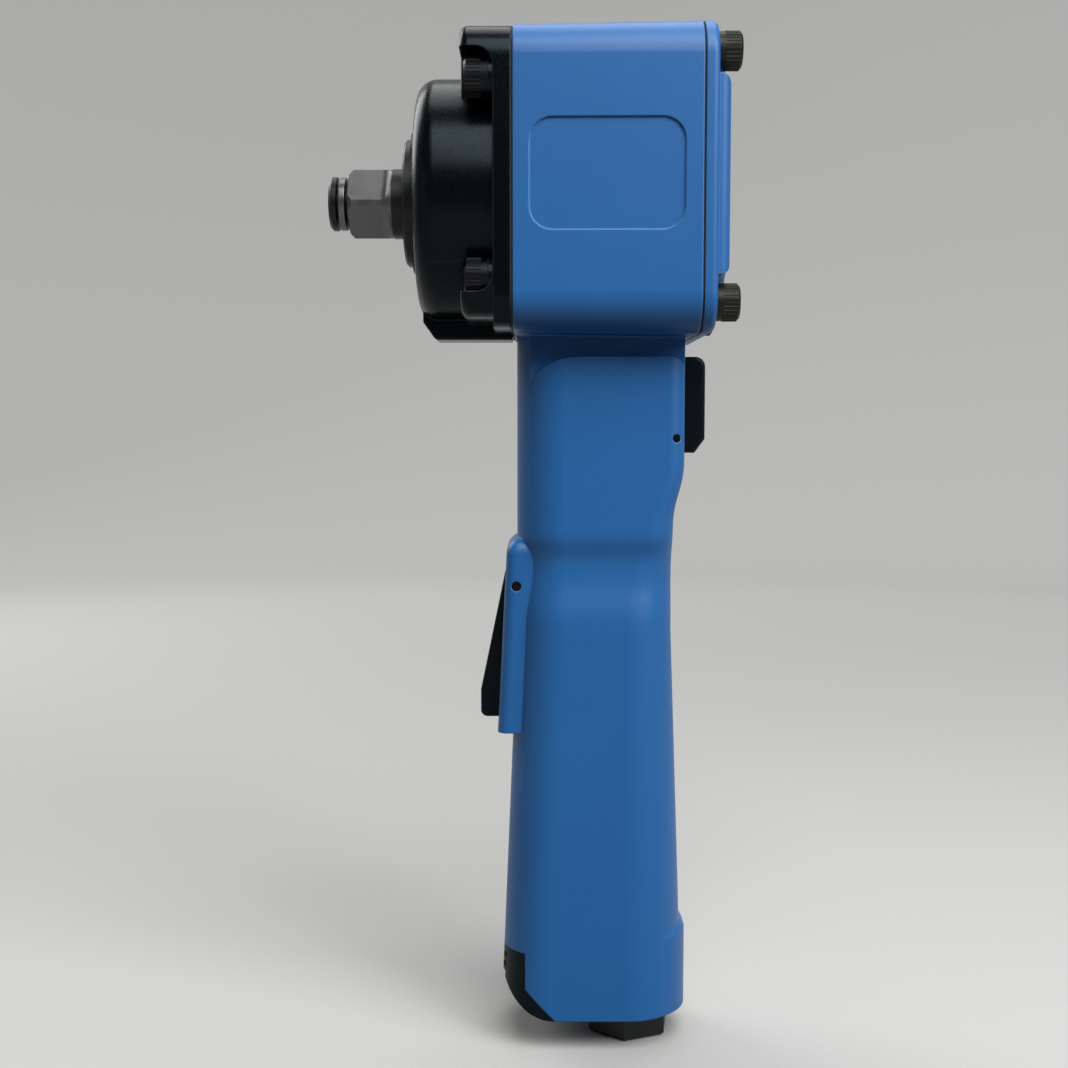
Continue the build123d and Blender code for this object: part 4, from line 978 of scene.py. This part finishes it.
class WRENCH_OT_works(bpy.types.Operator):
    """Gives the motor, the hammer and the valves inside their materials"""

    bl_idname = "wrench.works"
    bl_label = "Works inside"

    def execute(self, context):
        shades = context.scene.wrench_finishes
        details = context.scene.wrench_details
        # Hardened steel, ground about the anvil's axis: bright, with fine rings
        ground = worked_steel(
            "ground_hardened_steel",
            bare=shades.ground_steel,
            wear_and_highlight=shades.phosphate_worn,
            axis="X",
            mark=0.3,
            rounding=details.tool_round,
            roughness=0.3,
        )
        assign(ground, "hammer", "hammer_cage", "hammer_pins", "rotor", "motor_liner", "liner_dowel")
        assign(ground, "trigger_push_pin", "reverse_spool")
        for end in ("front", "rear"):
            assign(ground, f"{end}_end_plate")
            assign(ground, f"{end}_bearing_outer", f"{end}_bearing_inner", f"{end}_bearing_balls")
        # Drawn spring wire: bright, with a soft shine
        wire = worked_steel(
            "drawn_spring_wire",
            bare=shades.ground_steel,
            wear_and_highlight=shades.phosphate_worn,
            axis="Y",
            mark=0.2,
            rounding=details.tool_round,
            roughness=0.33,
        )
        assign(wire, "throttle_spring", "reverse_spring")
        coil("reverse_spring", wire)
        coil("throttle_spring", wire)
        # Laminated phenolic cloth: brown and slightly mottled
        phenolic = grained(
            "laminated_phenolic", shades.phenolic, size=0.4, depth=0.02, contrast=0.25, roughness=0.5
        )
        assign(phenolic, "rotor_vanes")
        # Wool felt: pale grey with no shine
        felt = grained("wool_felt", shades.felt, size=0.35, depth=0.12, contrast=0.2, roughness=0.9)
        assign(felt, "muffler")
        return {"FINISHED"}


class WRENCH_OT_stage(bpy.types.Operator):
    """Sets the paper, the lights and the camera"""

    bl_idname = "wrench.stage"
    bl_label = "Studio"

    def execute(self, context):
        scene = context.scene
        stage = scene.wrench_stage
        mesh = paper_bowl(stage)
        mesh.materials.append(seamless_paper(stage))
        paper = bpy.data.objects.new("paper_sweep", mesh)
        scene.collection.objects.link(paper)

        middle = (CAD_BOX[0] + CAD_BOX[1]) / 2
        for name, width, place in LAMPS:
            lamp = bpy.data.lights.new(f"{name}_light", "AREA")
            lamp.energy = getattr(stage, f"{name}_power")
            lamp.size = width
            holder = bpy.data.objects.new(f"{name}_light", lamp)
            holder.location = place
            holder.rotation_euler = (middle - Vector(place)).to_track_quat("-Z", "Y").to_euler()
            scene.collection.objects.link(holder)

        world = bpy.data.worlds.new("studio_room")
        world.use_nodes = True
        air = world.node_tree.nodes["Background"]
        air.inputs["Color"].default_value = WHITE
        air.inputs["Strength"].default_value = stage.room
        scene.world = world

        lens = bpy.data.cameras.new("camera")
        lens.sensor_width = FRAME_WIDTH
        lens.lens = stage.lens
        lens.clip_start = 10 * MM
        camera = bpy.data.objects.new("camera", lens)
        camera.location = (stage.across, -stage.distance, stage.height)
        camera.rotation_euler = (pi / 2 - stage.pitch, 0, 0)
        scene.collection.objects.link(camera)
        scene.camera = camera
        scene.view_settings.view_transform = "Standard"
        return {"FINISHED"}


class WRENCH_PT_panel(bpy.types.Panel):
    """Finishes, details and studio of the wrench"""

    bl_label = "Air impact wrench"
    bl_idname = "WRENCH_PT_panel"
    bl_space_type = "VIEW_3D"
    bl_region_type = "UI"
    bl_category = "Wrench"

    def draw(self, context):
        scene = context.scene
        for group in (scene.wrench_finishes, scene.wrench_details, scene.wrench_stage):
            box = self.layout.box()
            for name in group.__annotations__:
                box.prop(group, name)
        for operator in OPERATORS:
            self.layout.operator(operator.bl_idname)


OPERATORS = (
    WRENCH_OT_castings,
    WRENCH_OT_drive,
    WRENCH_OT_cap_screws,
    WRENCH_OT_controls,
    WRENCH_OT_inlet,
    WRENCH_OT_works,
    WRENCH_OT_stage,
)
GROUPS = {
    "wrench_finishes": WrenchFinishes,
    "wrench_details": WrenchDetails,
    "wrench_stage": WrenchStage,
}


def register():
    """Registers the add-on's classes and its groups of properties."""
    for kind in (*GROUPS.values(), *OPERATORS, WRENCH_PT_panel):
        bpy.utils.register_class(kind)
    for name, kind in GROUPS.items():
        setattr(bpy.types.Scene, name, PointerProperty(type=kind))


def unregister():
    """Takes the add-on's groups and classes out again."""
    for name in GROUPS:
        delattr(bpy.types.Scene, name)
    for kind in reversed((*GROUPS.values(), *OPERATORS, WRENCH_PT_panel)):
        bpy.utils.unregister_class(kind)


def main():
    """Dresses the wrench and sets the studio."""
    register()
    bpy.ops.wrench.castings()
    bpy.ops.wrench.drive()
    bpy.ops.wrench.cap_screws()
    bpy.ops.wrench.controls()
    bpy.ops.wrench.inlet()
    bpy.ops.wrench.works()
    bpy.ops.wrench.stage()


if __name__ == "__main__":
    main()
